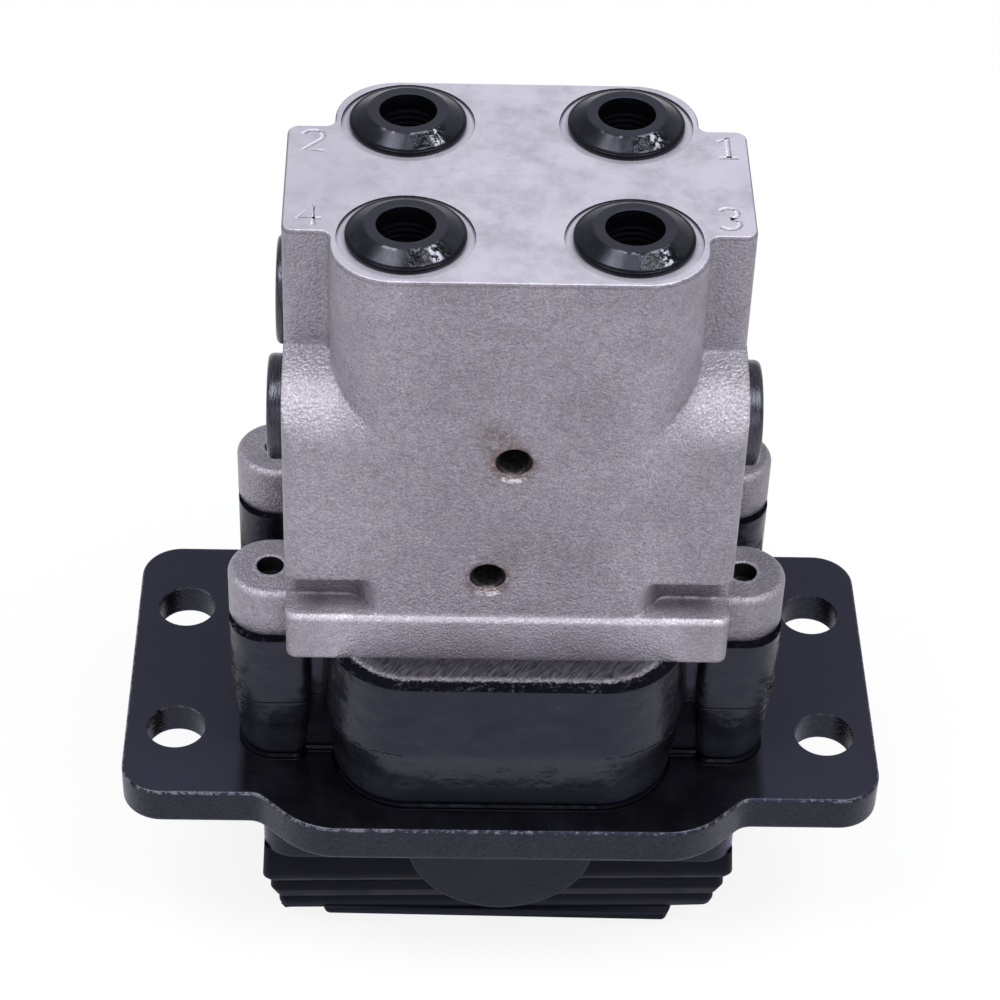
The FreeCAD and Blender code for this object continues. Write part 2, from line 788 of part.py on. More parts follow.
def lock_nuts(row):
    """Thin hexagon nuts that lock the adjusting screws on top of the cam arms."""
    nuts = []
    for x in (-port_spacing_x / 2, port_spacing_x / 2):
        nut = hexagon(x, row, arm_top, arm_top + nut_height, nut_flats)
        hole = upright(x, row, arm_top - 1, arm_top + nut_height + 1, adjuster_radius + adjuster_clearance)
        nuts.append(nut.cut(hole))
    return Part.makeCompound(nuts)


def push_rod(x, y):
    """Push rod with a domed tip and a cup that holds the button of the spool."""
    rod = domed_pin(x, y, rod_cup_bottom + rod_cup_floor, rod_tip_height, rod_radius, rod_dome_radius)
    cup = upright(x, y, rod_cup_bottom, rod_cup_top, rod_cup_radius)
    bore = upright(x, y, rod_cup_bottom + rod_cup_floor, rod_cup_top + 1, rod_cup_bore_radius)
    return joined([rod, cup]).cut(bore)


def rod_guide(x, y):
    """Guide bush of a push rod, with the seats of its seal and its O-ring."""
    bottom = guide_nose_bottom
    seal_top = bottom + seal_height + seal_seat_clearance
    seal_seat = seal_radius + seal_seat_clearance
    groove_low = ring_height - ring_groove_half_width
    groove_high = ring_height + ring_groove_half_width
    groove_radius = guide_radius - ring_groove_depth
    points = [
        (seal_seat, bottom), (guide_nose_radius, bottom), (guide_nose_radius, guide_shoulder_height),
        (guide_radius, guide_shoulder_height), (guide_radius, groove_low), (groove_radius, groove_low),
        (groove_radius, groove_high), (guide_radius, groove_high), (guide_radius, joint_height),
        (rod_bore_radius, joint_height), (rod_bore_radius, seal_top), (seal_seat, seal_top),
    ]
    return turned(points, x, y)


def guide_o_rings():
    """The O-rings round the four guides, with an eight-sided section."""
    ring_radius = guide_radius - ring_section_radius
    angles = [math.radians(45 * step) for step in range(8)]
    points = []
    for angle in angles:
        out = ring_radius + ring_section_radius * math.cos(angle)
        points.append((out, ring_height + ring_section_radius * math.sin(angle)))
    return Part.makeCompound([turned(points, x, y) for x, y in port_places.values()])


def rod_seals():
    """Lip seals at the lower ends of the four guides."""
    bottom = guide_nose_bottom
    seals = []
    for x, y in port_places.values():
        points = [
            (rod_bore_radius, bottom), (seal_radius, bottom), (seal_radius, bottom + seal_height),
            (rod_bore_radius + 1, bottom + seal_height), (rod_bore_radius, bottom + seal_height / 2),
        ]
        seals.append(turned(points, x, y))
    return Part.makeCompound(seals)


def spring_seat(x, y):
    """Ring on the rod's cup that carries both springs and keeps the spool's button in."""
    hole = spool_stem_radius + seat_hole_clearance
    points = [
        (hole, rod_cup_top), (seat_radius, rod_cup_top), (seat_radius, seat_top),
        (seat_rim_radius, seat_top), (seat_rim_radius, seat_rim_top), (hole, seat_rim_top),
    ]
    return turned(points, x, y)


def coil_spring(x, y, bottom, top, coil_radius, wire, turns):
    """Coil spring of square wire, run round as short straight lengths between two end rings."""
    half = wire / 2
    steps = int(round(turns * spring_sides_per_turn))
    rise = (top - bottom - wire) / steps
    sections = []
    for step in range(steps + 1):
        angle = 2 * math.pi * step / spring_sides_per_turn
        height = bottom + half + rise * step
        out = Vector(math.cos(angle), math.sin(angle), 0)
        centre = Vector(x, y, height) + out * coil_radius
        up = Vector(0, 0, half)
        ring = [centre - out * half - up, centre + out * half - up]
        ring += [centre + out * half + up, centre - out * half + up]
        sections.append(Part.makePolygon(ring + ring[:1]))
    return Part.makeLoft(sections, True, True)


def return_spring(x, y):
    """Outer spring, from the spring seat to the roof of the chamber."""
    return coil_spring(x, y, seat_top, chamber_bore_roof, return_coil_radius, return_wire, return_turns)


def metering_spring(x, y):
    """Inner spring, from the rim of the spring seat to the shoulder of the spool."""
    bottom = seat_rim_top
    top = spool_shoulder_bottom
    return coil_spring(x, y, bottom, top, metering_coil_radius, metering_wire, metering_turns)


def spool(x, y):
    """Metering spool: button, stem, shoulder, lands, waist, axial drilling and cross hole."""
    waist_low = pressure_height - spool_waist_length / 2
    waist_high = pressure_height + spool_waist_length / 2
    points = [
        (0, button_bottom), (spool_button_radius, button_bottom), (spool_button_radius, button_top),
        (spool_stem_radius, button_top), (spool_stem_radius, spool_shoulder_bottom),
        (spool_shoulder_radius, spool_shoulder_bottom), (spool_shoulder_radius, spool_shoulder_top),
        (spool_radius, spool_shoulder_top), (spool_radius, waist_low), (spool_waist_radius, waist_low),
        (spool_waist_radius, waist_high), (spool_radius, waist_high), (spool_radius, spool_top),
        (0, spool_top),
    ]
    drill_bottom = spool_top - spool_drill_depth
    drill = upright(x, y, drill_bottom, spool_top + 1, spool_drill_radius)
    cross_height = drill_bottom + 2 * spool_cross_radius
    cross = across(x, cross_height, y - spool_radius - 1, y + spool_radius + 1, spool_cross_radius)
    return turned(points, x, y).cut([drill, cross])


def boot_levels():
    """Outer shape of a boot as (inset from the collar, height) from the collar downwards."""
    height = skirt_bottom
    levels = [(0, height), (0, height - boot_collar_height)]
    height -= boot_collar_height
    inset = 0
    for fold in range(2):
        inset += boot_fold_inset
        deep = inset + boot_groove_depth
        levels += [(deep, height - boot_groove_height), (inset, height - 2 * boot_groove_height)]
        height -= 2 * boot_groove_height + boot_fold_height - boot_groove_height
        levels.append((inset + boot_skin_taper * fold, height))
    return levels


def boot_section(inset, height, row):
    """Rounded rectangular section of a boot, inset from its collar."""
    half_x = spigot_half_length + boot_seat_clearance + boot_collar_wall - inset
    half_y = spigot_half_width + boot_seat_clearance + boot_collar_wall - inset
    return (rectangle(half_x, half_y, boot_corner_radius, 0, row), height)


def bellows(row):
    """Rubber boot: collar on the spigot, two folds and a neck round the cam's pad."""
    levels = boot_levels()
    outer = tapered([boot_section(inset, height, row) for inset, height in levels])
    bottom = levels[-1][1]
    neck_x = pad_half_length + boot_neck_clearance
    neck_y = cam_half_width + boot_neck_clearance
    neck_radius = pad_corner_radius + boot_neck_clearance
    lip_x = neck_x + boot_neck_wall_x
    lip_y = neck_y + boot_neck_wall_y
    neck_plan = rectangle(lip_x, lip_y, boot_corner_radius, 0, row)
    neck = prism(neck_plan, bottom - boot_neck_height, bottom + boot_floor_thickness)
    socket_x = spigot_half_length + boot_seat_clearance
    socket_y = spigot_half_width + boot_seat_clearance
    socket_plan = rectangle(socket_x, socket_y, spigot_radius, 0, row)
    socket = prism(socket_plan, spigot_bottom, skirt_bottom + 1)
    deepest = max(inset for inset, height in levels) + boot_wall
    inner_low = boot_section(deepest, bottom + boot_floor_thickness, row)
    inner_high = boot_section(deepest, spigot_bottom, row)
    hollow = tapered([inner_low, inner_high])
    hole_plan = rectangle(neck_x, neck_y, neck_radius, 0, row)
    hole = prism(hole_plan, bottom - boot_neck_height - 1, spigot_bottom)
    return outer.fuse(neck).cut([socket, hollow, hole])


def save(name, shape):
    """Write one named piece."""
    shape.exportStep(os.path.join("parts", name + ".step"))
    box = shape.BoundBox
    print(name, len(shape.Solids), "valid" if shape.isValid() else "INVALID", round(shape.Volume, 1),
          [round(v, 2) for v in (box.XMin, box.YMin, box.ZMin, box.XMax, box.YMax, box.ZMax)])


def build_housing():
    """Pieces that stay with the plate."""
    save("valve_body", valve_body())
    save("cover_housing", cover_housing())
    save("cover_screws", cover_screws())
    save("pivot_shaft", pivot_shaft())
    save("shaft_lock_screw", shaft_lock_screw())
    save("side_plug_lower_left", side_plug(-1, tank_height, lower_left_plug_height))
    save("side_plug_lower_right", side_plug(1, tank_height, lower_right_plug_height))
    save("side_plug_upper_left", side_plug(-1, pressure_height, upper_left_plug_height))
    save("guide_o_rings", guide_o_rings())
    save("rod_seals", rod_seals())
    for number, (x, y) in port_places.items():
        save("port_plug_%d" % number, port_plug(x, y))
        save("rod_guide_%d" % number, rod_guide(x, y))
        save("return_spring_%d" % number, return_spring(x, y))


def build_moving():
    """Pieces that rock or slide, and the boots that follow the cams."""
    for name, row in row_places.items():
        save("bellows_" + name, bellows(row))
        save("cam_" + name, cam(row))
        save("cam_bushes_" + name, cam_bushes(row))
        save("adjusting_screws_" + name, adjusting_screws(row))
        save("lock_nuts_" + name, lock_nuts(row))
    for number, (x, y) in port_places.items():
        save("push_rod_%d" % number, push_rod(x, y))
        save("spring_seat_%d" % number, spring_seat(x, y))
        save("metering_spring_%d" % number, metering_spring(x, y))
        save("spool_%d" % number, spool(x, y))


os.makedirs("parts", exist_ok=True)
build_housing()
build_moving()
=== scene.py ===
"""Looks of the two-pedal pilot control valve, built round its packed construction."""
import math

import bmesh
import bpy
from mathutils import Matrix, Vector


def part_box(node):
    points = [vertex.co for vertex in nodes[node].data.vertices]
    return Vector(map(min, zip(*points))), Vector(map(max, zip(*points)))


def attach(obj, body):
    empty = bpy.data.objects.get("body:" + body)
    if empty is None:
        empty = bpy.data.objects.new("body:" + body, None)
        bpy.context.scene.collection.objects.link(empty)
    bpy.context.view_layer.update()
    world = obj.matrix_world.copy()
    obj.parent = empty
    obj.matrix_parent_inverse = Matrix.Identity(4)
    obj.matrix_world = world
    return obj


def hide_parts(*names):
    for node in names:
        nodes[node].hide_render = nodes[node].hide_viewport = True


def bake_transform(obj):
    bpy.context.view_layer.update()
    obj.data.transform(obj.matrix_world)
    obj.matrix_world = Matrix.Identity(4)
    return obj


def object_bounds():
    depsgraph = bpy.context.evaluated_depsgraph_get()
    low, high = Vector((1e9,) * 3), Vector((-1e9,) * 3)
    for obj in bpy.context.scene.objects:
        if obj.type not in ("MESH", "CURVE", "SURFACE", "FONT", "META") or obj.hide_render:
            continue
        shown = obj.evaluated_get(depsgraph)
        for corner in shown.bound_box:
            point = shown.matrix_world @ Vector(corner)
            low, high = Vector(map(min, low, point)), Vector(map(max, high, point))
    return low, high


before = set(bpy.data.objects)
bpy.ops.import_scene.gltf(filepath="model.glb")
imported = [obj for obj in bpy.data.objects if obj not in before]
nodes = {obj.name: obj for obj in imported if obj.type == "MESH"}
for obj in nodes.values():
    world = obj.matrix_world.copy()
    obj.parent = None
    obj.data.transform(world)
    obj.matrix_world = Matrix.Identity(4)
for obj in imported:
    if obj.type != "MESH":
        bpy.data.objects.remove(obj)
construction_box = [list(corner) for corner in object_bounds()]
MM = 0.001


# Valve body
# A sand-cast aluminium block: milled bright on the port face, left with its grey cast skin
# on every side, and stained by rust round the two threaded holes on its front.
def add(tree, kind, settings=None, **inputs):
    """A new shader node. An input is named with its spaces as underscores."""
    made = tree.nodes.new("ShaderNode" + kind)
    for name, value in (settings or {}).items():
        setattr(made, name, value)
    for name, value in inputs.items():
        feed(tree, value, made.inputs[name.replace("_", " ")])
    return made


def feed(tree, value, socket):
    """Links an output to a socket, or sets the socket's own value."""
    if isinstance(value, bpy.types.NodeSocket):
        tree.links.new(value, socket)
    else:
        socket.default_value = value


def calc(tree, operation, *values):
    """One sum on numbers."""
    made = tree.nodes.new("ShaderNodeMath")
    made.operation = operation
    for socket, value in zip(made.inputs, values):
        feed(tree, value, socket)
    return made.outputs[0]


def times(tree, *values):
    """The product of two or more numbers."""
    product = values[0]
    for value in values[1:]:
        product = calc(tree, "MULTIPLY", product, value)
    return product


def distance(tree, across, along):
    """How far a place is from another, with the two sides of the triangle given."""
    squares = [calc(tree, "POWER", side, 2.0) for side in (across, along)]
    return calc(tree, "SQRT", calc(tree, "ADD", *squares))


def from_nearest(tree, value, half_spacing):
    """Place along one axis, counted from the nearer of two mirrored middles."""
    return calc(tree, "SUBTRACT", value, times(tree, calc(tree, "SIGN", value), half_spacing))


def fade(tree, value, start, end, low=0.0, high=1.0):
    """Soft step from low, where the value is start, to high, where it is end."""
    made = add(tree, "MapRange", {"interpolation_type": "SMOOTHSTEP"})
    for socket, setting in zip(made.inputs, (value, start, end, low, high)):
        feed(tree, setting, socket)
    return made.outputs[0]


def band(tree, value, start, full, waning, end):
    """1 where the value is between full and waning, and 0 before start and after end."""
    return times(tree, fade(tree, value, start, full), fade(tree, value, end, waning))


def within(tree, value, middle, near, far):
    """1 where the value is nearer than near to a middle one, and 0 where it is past far."""
    gap = calc(tree, "ABSOLUTE", calc(tree, "SUBTRACT", value, middle))
    return fade(tree, gap, far, near)


def tint(tree, amount, below, above, mode="MIX"):
    """Colour laid over another by an amount."""
    made = add(tree, "Mix", {"data_type": "RGBA", "blend_type": mode})
    feed(tree, amount, made.inputs[0])
    for socket, colour in ((made.inputs[6], below), (made.inputs[7], above)):
        if isinstance(colour, bpy.types.NodeSocket):
            tree.links.new(colour, socket)
        else:
            socket.default_value = (*colour, 1.0)
    return made.outputs[2]


def parts_of(tree, vector):
    """The three numbers of a vector."""
    return add(tree, "SeparateXYZ", Vector=vector).outputs


def cloud(tree, place, size, detail=3.0, roughness=0.55):
    """Noise from 0 to 1 with lumps of about this size in millimetres."""
    made = add(tree, "TexNoise", Vector=place, Scale=1.0 / size, Detail=detail, Roughness=roughness)
    return made.outputs["Fac"]


def new_finish(name):
    """A material with its shader and the place on the piece in millimetres."""
    material = bpy.data.materials.new(name)
    material.use_nodes = True
    tree = material.node_tree
    shader = tree.nodes["Principled BSDF"]
    spot = add(tree, "TexCoord").outputs["Object"]
    place = add(tree, "VectorMath", {"operation": "SCALE"}, Vector=spot, Scale=1.0 / MM).outputs[0]
    return material, tree, shader, place


def use(tree, shader, colour=None, roughness=None, height=None, depth=0.1, metallic=None, soften=None):
    """Feeds the shader with what changes over the surface. Depth is the bump's height, and
    soften the radius of the edges that look rounded, both in mm."""
    if colour is not None:
        feed(tree, colour, shader.inputs["Base Color"])
    if roughness is not None:
        feed(tree, roughness, shader.inputs["Roughness"])
    if metallic is not None:
        feed(tree, metallic, shader.inputs["Metallic"])
    if height is not None:
        bump = add(tree, "Bump", Strength=1.0, Distance=depth * MM, Height=height)
        if soften is not None:
            radius = times(tree, soften, MM)
            rounded = add(tree, "Bevel", {"samples": 4}, Radius=radius)
            feed(tree, rounded.outputs[0], bump.inputs["Normal"])
        feed(tree, bump.outputs[0], shader.inputs["Normal"])


def wear_finish(piece_names, material):
    """Gives the named construction nodes one material."""
    for name in piece_names:
        mesh = nodes[name].data
        mesh.materials.clear()
        mesh.materials.append(material)


def new_group(name, sockets_in, sockets_out):
    """A shader node group with float inputs, a vector called Place, and float outputs."""
    group = bpy.data.node_groups.new(name, "ShaderNodeTree")
    group.interface.new_socket("Place", in_out="INPUT", socket_type="NodeSocketVector")
    for label, value in sockets_in:
        socket = group.interface.new_socket(label, in_out="INPUT", socket_type="NodeSocketFloat")
        socket.default_value = value
    for label in sockets_out:
        group.interface.new_socket(label, in_out="OUTPUT", socket_type="NodeSocketFloat")
    entry = group.nodes.new("NodeGroupInput")
    leave = group.nodes.new("NodeGroupOutput")
    return group, entry.outputs, leave.inputs


def place_group(tree, group, place, **values):
    """Puts a group in a material with its own values, and returns its outputs."""
    made = tree.nodes.new("ShaderNodeGroup")
    made.node_tree = group
    feed(tree, place, made.inputs["Place"])
    for name, value in values.items():
        feed(tree, value, made.inputs[name.replace("_", " ")])
    return made.outputs


# Skin of a sand casting: grains, a fine speckle, cloudy patches and a few dark pits
sand_skin, given, out = new_group(
    "sand_skin",
    (("Grain", 0.5), ("Pit Spacing", 5.0), ("Pit Size", 0.07)),
    ("Height", "Speckle", "Clouds", "Pits"),
)
grain_scale = calc(sand_skin, "DIVIDE", 1.0, given["Grain"])
grains = add(sand_skin, "TexNoise", Vector=given["Place"], Scale=grain_scale, Detail=4.0, Roughness=0.7)
bumps = add(sand_skin, "TexVoronoi", {"feature": "SMOOTH_F1"}, Vector=given["Place"], Scale=grain_scale)
bumps.inputs["Smoothness"].default_value = 0.6
rough_height = calc(sand_skin, "SUBTRACT", grains.outputs["Fac"], bumps.outputs["Distance"])
fine_scale = times(sand_skin, grain_scale, 1.7)
speckle = add(sand_skin, "TexNoise", Vector=given["Place"], Scale=fine_scale, Detail=2.0, Roughness=0.8)
pit_scale = calc(sand_skin, "DIVIDE", 1.0, given["Pit Spacing"])
pit_cells = add(sand_skin, "TexVoronoi", Vector=given["Place"], Scale=pit_scale)
pit_chance = parts_of(sand_skin, pit_cells.outputs["Color"])[0]
pit_here = calc(sand_skin, "GREATER_THAN", pit_chance, 0.72)
pit_reach = times(sand_skin, given["Pit Size"], pit_chance)
pit_dark = fade(sand_skin, pit_cells.outputs["Distance"], pit_reach, 0.0)
pits = times(sand_skin, pit_here, pit_dark)
feed(sand_skin, calc(sand_skin, "SUBTRACT", rough_height, pits), out["Height"])
feed(sand_skin, speckle.outputs["Fac"], out["Speckle"])
feed(sand_skin, cloud(sand_skin, given["Place"], 14.0, 4.0), out["Clouds"])
feed(sand_skin, pits, out["Pits"])

port_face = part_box("valve_body")[1].z / MM
port_half_x = 22.75
port_half_y = 20.0
bore_radius = 14.2
body_front = -35.2
lip_top = 50.0
pocket_top = 60.0
ear_x = 51.5
ear_y = 20.0
rusty_holes = ((0.0, 93.0, 1.0, 1.0), (-4.6, 61.2, 0.55, -1.0))
cast_grey = (0.264, 0.244, 0.284)
cast_light = (0.46, 0.427, 0.486)
cast_dark = (0.10, 0.091, 0.106)
painted_highlight_colour = (0.76, 0.735, 0.80)
milled_silver = (0.625, 0.604, 0.692)
rust_brown = (0.10, 0.055, 0.030)

cast_aluminium, tree, shader, place = new_finish("cast_aluminium")
x, y, z = parts_of(tree, place)
side_x = calc(tree, "ABSOLUTE", x)
side_y = calc(tree, "ABSOLUTE", y)
skin = place_group(tree, sand_skin, place, Grain=0.62, Pit_Spacing=7.0, Pit_Size=0.05)
sparkle = fade(tree, cloud(tree, place, 0.55, 3.0, 0.8), 0.40, 0.70)
colour = tint(tree, fade(tree, skin["Speckle"], 0.30, 0.70), cast_dark, cast_light)
colour = tint(tree, 0.55, colour, cast_grey)
clouds = fade(tree, skin["Clouds"], 0.3, 0.72, 0.90, 1.08)
mottled = fade(tree, cloud(tree, place, 1.7, 4.0, 0.8), 0.34, 0.68, 0.89, 1.11)
# As painted light, the middle of the lip is painted brighter than its ends, both flanks of the block
# brighter than its middle (less on the right), the left ear a little lighter and the right ear darker.
foot = fade(tree, z, lip_top + 0.6, lip_top - 0.1, 1.0, fade(tree, side_x, 34.0, 43.0, 1.25, 0.98))
ears = times(tree, fade(tree, x, -47.6, -48.2, 0.97, 1.02), fade(tree, x, 47.6, 48.2, 1.0, 0.86))
flanks = times(tree, fade(tree, side_x, 12.0, 32.0, 1.05, 1.18), fade(tree, x, 22.0, 40.0, 1.0, 0.92))
shade = times(tree, clouds, mottled, foot, ears, flanks)
grey_shade = add(tree, "CombineXYZ", X=shade, Y=shade, Z=shade).outputs[0]
colour = tint(tree, 1.0, colour, grey_shade, "MULTIPLY")
# The shoulders' rounded tops carry a painted highlight.
on_shoulder = times(tree, band(tree, z, 96.0, 103.0, 109.5, 112.5), fade(tree, side_x, 33.0, 39.0))
on_shoulder = times(tree, on_shoulder, fade(tree, sparkle, 0.0, 1.0, 0.06, 0.43))
colour = tint(tree, on_shoulder, colour, painted_highlight_colour)
grime = fade(tree, cloud(tree, place, 3.0, 5.0, 0.75), 0.60, 0.72)
colour = tint(tree, times(tree, grime, 0.22), colour, (0.12, 0.10, 0.115))
colour = tint(tree, times(tree, skin["Pits"], 0.8), colour, (0.05, 0.042, 0.045))
# The lip's front darkens towards its lower edge, between the two ends.
under_lip = times(tree, fade(tree, z, 41.2, 38.3), fade(tree, side_x, 34.0, 20.0))
colour = tint(tree, times(tree, under_lip, 0.20), colour, (0.085, 0.075, 0.08))
# Each pocket's back is painted dark as shade, with a painted highlight where its walls meet its floor.
in_pocket = times(tree, fade(tree, side_y, 28.6, 28.75), fade(tree, side_x, 26.5, 28.0))
in_pocket = times(tree, in_pocket, fade(tree, z, pocket_top + 0.3, pocket_top - 0.3))
pocket_shade = times(tree, fade(tree, side_y, 33.2, 29.4), fade(tree, z, lip_top + 0.1, lip_top + 0.7))
pocket_shade = times(tree, in_pocket, pocket_shade, fade(tree, side_x, 46.9, 44.8), 0.50)
colour = tint(tree, pocket_shade, colour, (0.045, 0.038, 0.04))
pocket_foot_highlight = band(tree, z, lip_top + 0.02, lip_top + 0.12, lip_top + 0.45, lip_top + 0.95)
pocket_foot_highlight = times(tree, in_pocket, pocket_foot_highlight, fade(tree, x, -10.0, 10.0, 0.25, 0.8))
pocket_foot_highlight = times(tree, pocket_foot_highlight, fade(tree, cloud(tree, place, 2.6, 3.0), 0.44, 0.60, 0.15, 1.0))
colour = tint(tree, pocket_foot_highlight, colour, painted_highlight_colour)
# The rounded edges of the lip and the ears carry a painted highlight.
rim_highlight = band(tree, z, lip_top - 1.5, lip_top - 0.8, lip_top - 0.07, lip_top - 0.005)
rim_highlight = times(tree, rim_highlight, fade(tree, sparkle, 0.0, 1.0, 0.16, 0.62))
rim_highlight = times(tree, rim_highlight, fade(tree, side_x, 47.5, 48.5, 1.0, 0.30))
colour = tint(tree, rim_highlight, colour, painted_highlight_colour)
# The screw holes in the ears are painted black inside as shade, with a painted highlight on a thin edge.
from_screw = distance(tree, calc(tree, "SUBTRACT", side_x, ear_x), calc(tree, "SUBTRACT", side_y, ear_y))
hole_edge_highlight = times(tree, fade(tree, from_screw, 3.95, 3.55), fade(tree, z, lip_top - 0.5, lip_top - 0.1))
hole_edge_highlight = times(tree, hole_edge_highlight, fade(tree, sparkle, 0.0, 1.0, 0.10, 0.6))
colour = tint(tree, hole_edge_highlight, colour, painted_highlight_colour)
screw_hole_shade = times(tree, fade(tree, from_screw, 3.40, 3.33), fade(tree, z, lip_top - 0.03, lip_top - 0.2))
colour = tint(tree, screw_hole_shade, colour, (0.012, 0.012, 0.015))
stain_noise = cloud(tree, place, 1.6, 5.0, 0.75)
on_front = fade(tree, y, body_front + 1.2, body_front + 0.8)
for hole_x, hole_z, strength, lean_side in rusty_holes:
    side = calc(tree, "SUBTRACT", x, hole_x)
    rise = calc(tree, "SUBTRACT", z, hole_z)
    # The stain has crept up and to one side of the hole.
    climb = times(tree, calc(tree, "MAXIMUM", rise, 0.0), 0.5)
    lean = calc(tree, "ADD", times(tree, side, lean_side), climb)
    tall = calc(tree, "ADD", calc(tree, "MINIMUM", rise, 0.0), climb)
    stain = fade(tree, distance(tree, lean, tall), 7.0, 3.6)
    stain = times(tree, stain, fade(tree, stain_noise, 0.34, 0.64), on_front, strength * 0.6)
    colour = tint(tree, stain, colour, rust_brown)
    # The countersink is painted black as shade, with rust specks round it and a painted highlight on a
    # crescent below.
    around = distance(tree, side, calc(tree, "ADD", rise, 0.3))
    rusty_ring = times(tree, fade(tree, around, 5.5, 4.2), fade(tree, stain_noise, 0.40, 0.56))
    colour = tint(tree, times(tree, rusty_ring, on_front, 0.85), colour, (0.15, 0.10, 0.092))
    countersink_shade = distance(tree, side, times(tree, calc(tree, "SUBTRACT", rise, 0.25), 1.07))
    countersink_shade = times(tree, fade(tree, countersink_shade, 3.98, 3.8), on_front, 0.97)
    colour = tint(tree, countersink_shade, colour, (0.008, 0.008, 0.011))
    inner = distance(tree, side, calc(tree, "SUBTRACT", rise, 0.6))
    crescent_highlight = times(tree, fade(tree, inner, 4.5, 4.8), fade(tree, around, 5.3, 4.9))
    crescent_highlight = times(tree, crescent_highlight, fade(tree, rise, -3.2, -4.2), within(tree, side, 0.0, 1.9, 3.2))
    crescent_highlight = times(tree, crescent_highlight, on_front, fade(tree, stain_noise, 0.42, 0.54), 0.85)
    colour = tint(tree, crescent_highlight, colour, (0.74, 0.70, 0.74))
# The port face is milled, a little clouded, with fine scratches and a few nicks.
smudge = fade(tree, cloud(tree, place, 9.0, 5.0, 0.6), 0.35, 0.72)
rubbing = fade(tree, cloud(tree, place, 2.4, 5.0, 0.7), 0.3, 0.7)
scratch_place = add(tree, "Mapping", Vector=place, Scale=(0.05, 1.6, 1.0), Rotation=(0, 0, 0.35))
scratches = cloud(tree, scratch_place.outputs[0], 1.0, 3.0, 0.7)
nicks = fade(tree, cloud(tree, place, 1.3, 2.0, 0.6), 0.735, 0.76)
milled = tint(tree, times(tree, smudge, 0.90), milled_silver, (0.435, 0.415, 0.475))
milled = tint(tree, times(tree, rubbing, 0.38), milled, (0.70, 0.68, 0.76))
milled = tint(tree, fade(tree, x, -6.0, -44.0, 0.0, 0.30), milled, (0.43, 0.415, 0.475))
milled = tint(tree, fade(tree, scratches, 0.60, 0.72, 0.0, 0.35), milled, (0.76, 0.74, 0.82))
milled = tint(tree, times(tree, nicks, 0.55), milled, (0.25, 0.24, 0.27))
edge_height = calc(tree, "ADD", z, times(tree, cloud(tree, place, 1.1, 3.0, 0.6), 0.35))
faces_up = fade(tree, parts_of(tree, add(tree, "NewGeometry").outputs["True Normal"])[2], 0.75, 0.95)
on_face = times(tree, fade(tree, edge_height, port_face - 0.06, port_face + 0.06), faces_up)
# Each port is counterbored: a plain floor round the plug, a painted shadow of the wall on the floor's rear
# part, and a wall painted black as shade.
from_port = distance(
    tree, calc(tree, "SUBTRACT", side_x, port_half_x), calc(tree, "SUBTRACT", side_y, port_half_y)
)
in_bore = fade(tree, from_port, bore_radius, bore_radius - 0.1)
in_bore = times(tree, in_bore, fade(tree, z, port_face - 0.7, port_face - 0.5))
under_face = fade(tree, z, port_face - 0.02, port_face - 0.08)
bore_wall_shade = times(tree, fade(tree, from_port, bore_radius - 0.35, bore_radius - 0.25), under_face, in_bore)
on_face = calc(tree, "MAXIMUM", on_face, in_bore)
milled = tint(tree, times(tree, in_bore, under_face, 0.15), milled, (0.25, 0.24, 0.28))
bore_shade = times(tree, fade(tree, from_port, bore_radius - 0.9, bore_radius - 0.5), under_face, in_bore)
bore_shade = times(tree, bore_shade, fade(tree, from_nearest(tree, y, port_half_y), -3.0, 5.0))
milled = tint(tree, times(tree, bore_shade, 0.8), milled, (0.035, 0.035, 0.042))
milled = tint(tree, times(tree, bore_wall_shade, 0.85), milled, (0.02, 0.02, 0.024))
colour = tint(tree, on_face, colour, milled)
rough = fade(tree, skin["Speckle"], 0.2, 0.8, 0.38, 0.56)
rough = calc(tree, "SUBTRACT", rough, times(tree, on_face, 0.10))
# The broken arris round the port face is dull and dark.
arris = times(tree, fade(tree, z, port_face - 1.1, port_face - 0.7), calc(tree, "SUBTRACT", 1.0, on_face))
colour = tint(tree, times(tree, arris, 0.30), colour, (0.10, 0.09, 0.105))
rough = calc(tree, "ADD", rough, times(tree, arris, 0.3))
grain_share = calc(tree, "SUBTRACT", 1.0, times(tree, on_face, 0.93))
grain_share = times(tree, grain_share, fade(tree, z, lip_top + 2.0, lip_top + 0.2, 1.0, 0.6))
# Cast corners are soft, and the milled rim is crisp.
corner_radius = fade(tree, z, port_face - 4.0, port_face - 1.0, 1.0, 0.02)
height = times(tree, skin["Height"], grain_share)
use(tree, shader, colour, rough, height, depth=0.24, soften=corner_radius)
shader.inputs["Metallic"].default_value = 0.62
wear_finish(["valve_body"], cast_aluminium)


# Port numbers
# Thin digits scratched into the milled port face beside the four ports, so that pipes go back
# on the right ones. Each stroke is a flat strip painted with the groove's lit wall, its floor and its
# shaded wall.
def arc(centre_x, centre_y, radius_x, radius_y, start, end, steps=8):
    """Points on part of an ellipse, with angles in degrees."""
    found = []
    for step in range(steps + 1):
        angle = math.radians(start + (end - start) * step / steps)
        found.append((centre_x + radius_x * math.cos(angle), centre_y + radius_y * math.sin(angle)))
    return found


def put_piece(shape, name, smooth=True):
    """Makes a piece of a shape drawn in millimetres, in place."""
    bmesh.ops.scale(shape, verts=shape.verts, vec=(MM, MM, MM))
    for face in shape.faces:
        face.smooth = smooth
    mesh = bpy.data.meshes.new(name)
    shape.to_mesh(mesh)
    shape.free()
    piece = bpy.data.objects.new(name, mesh)
    bpy.context.scene.collection.objects.link(piece)
    return piece


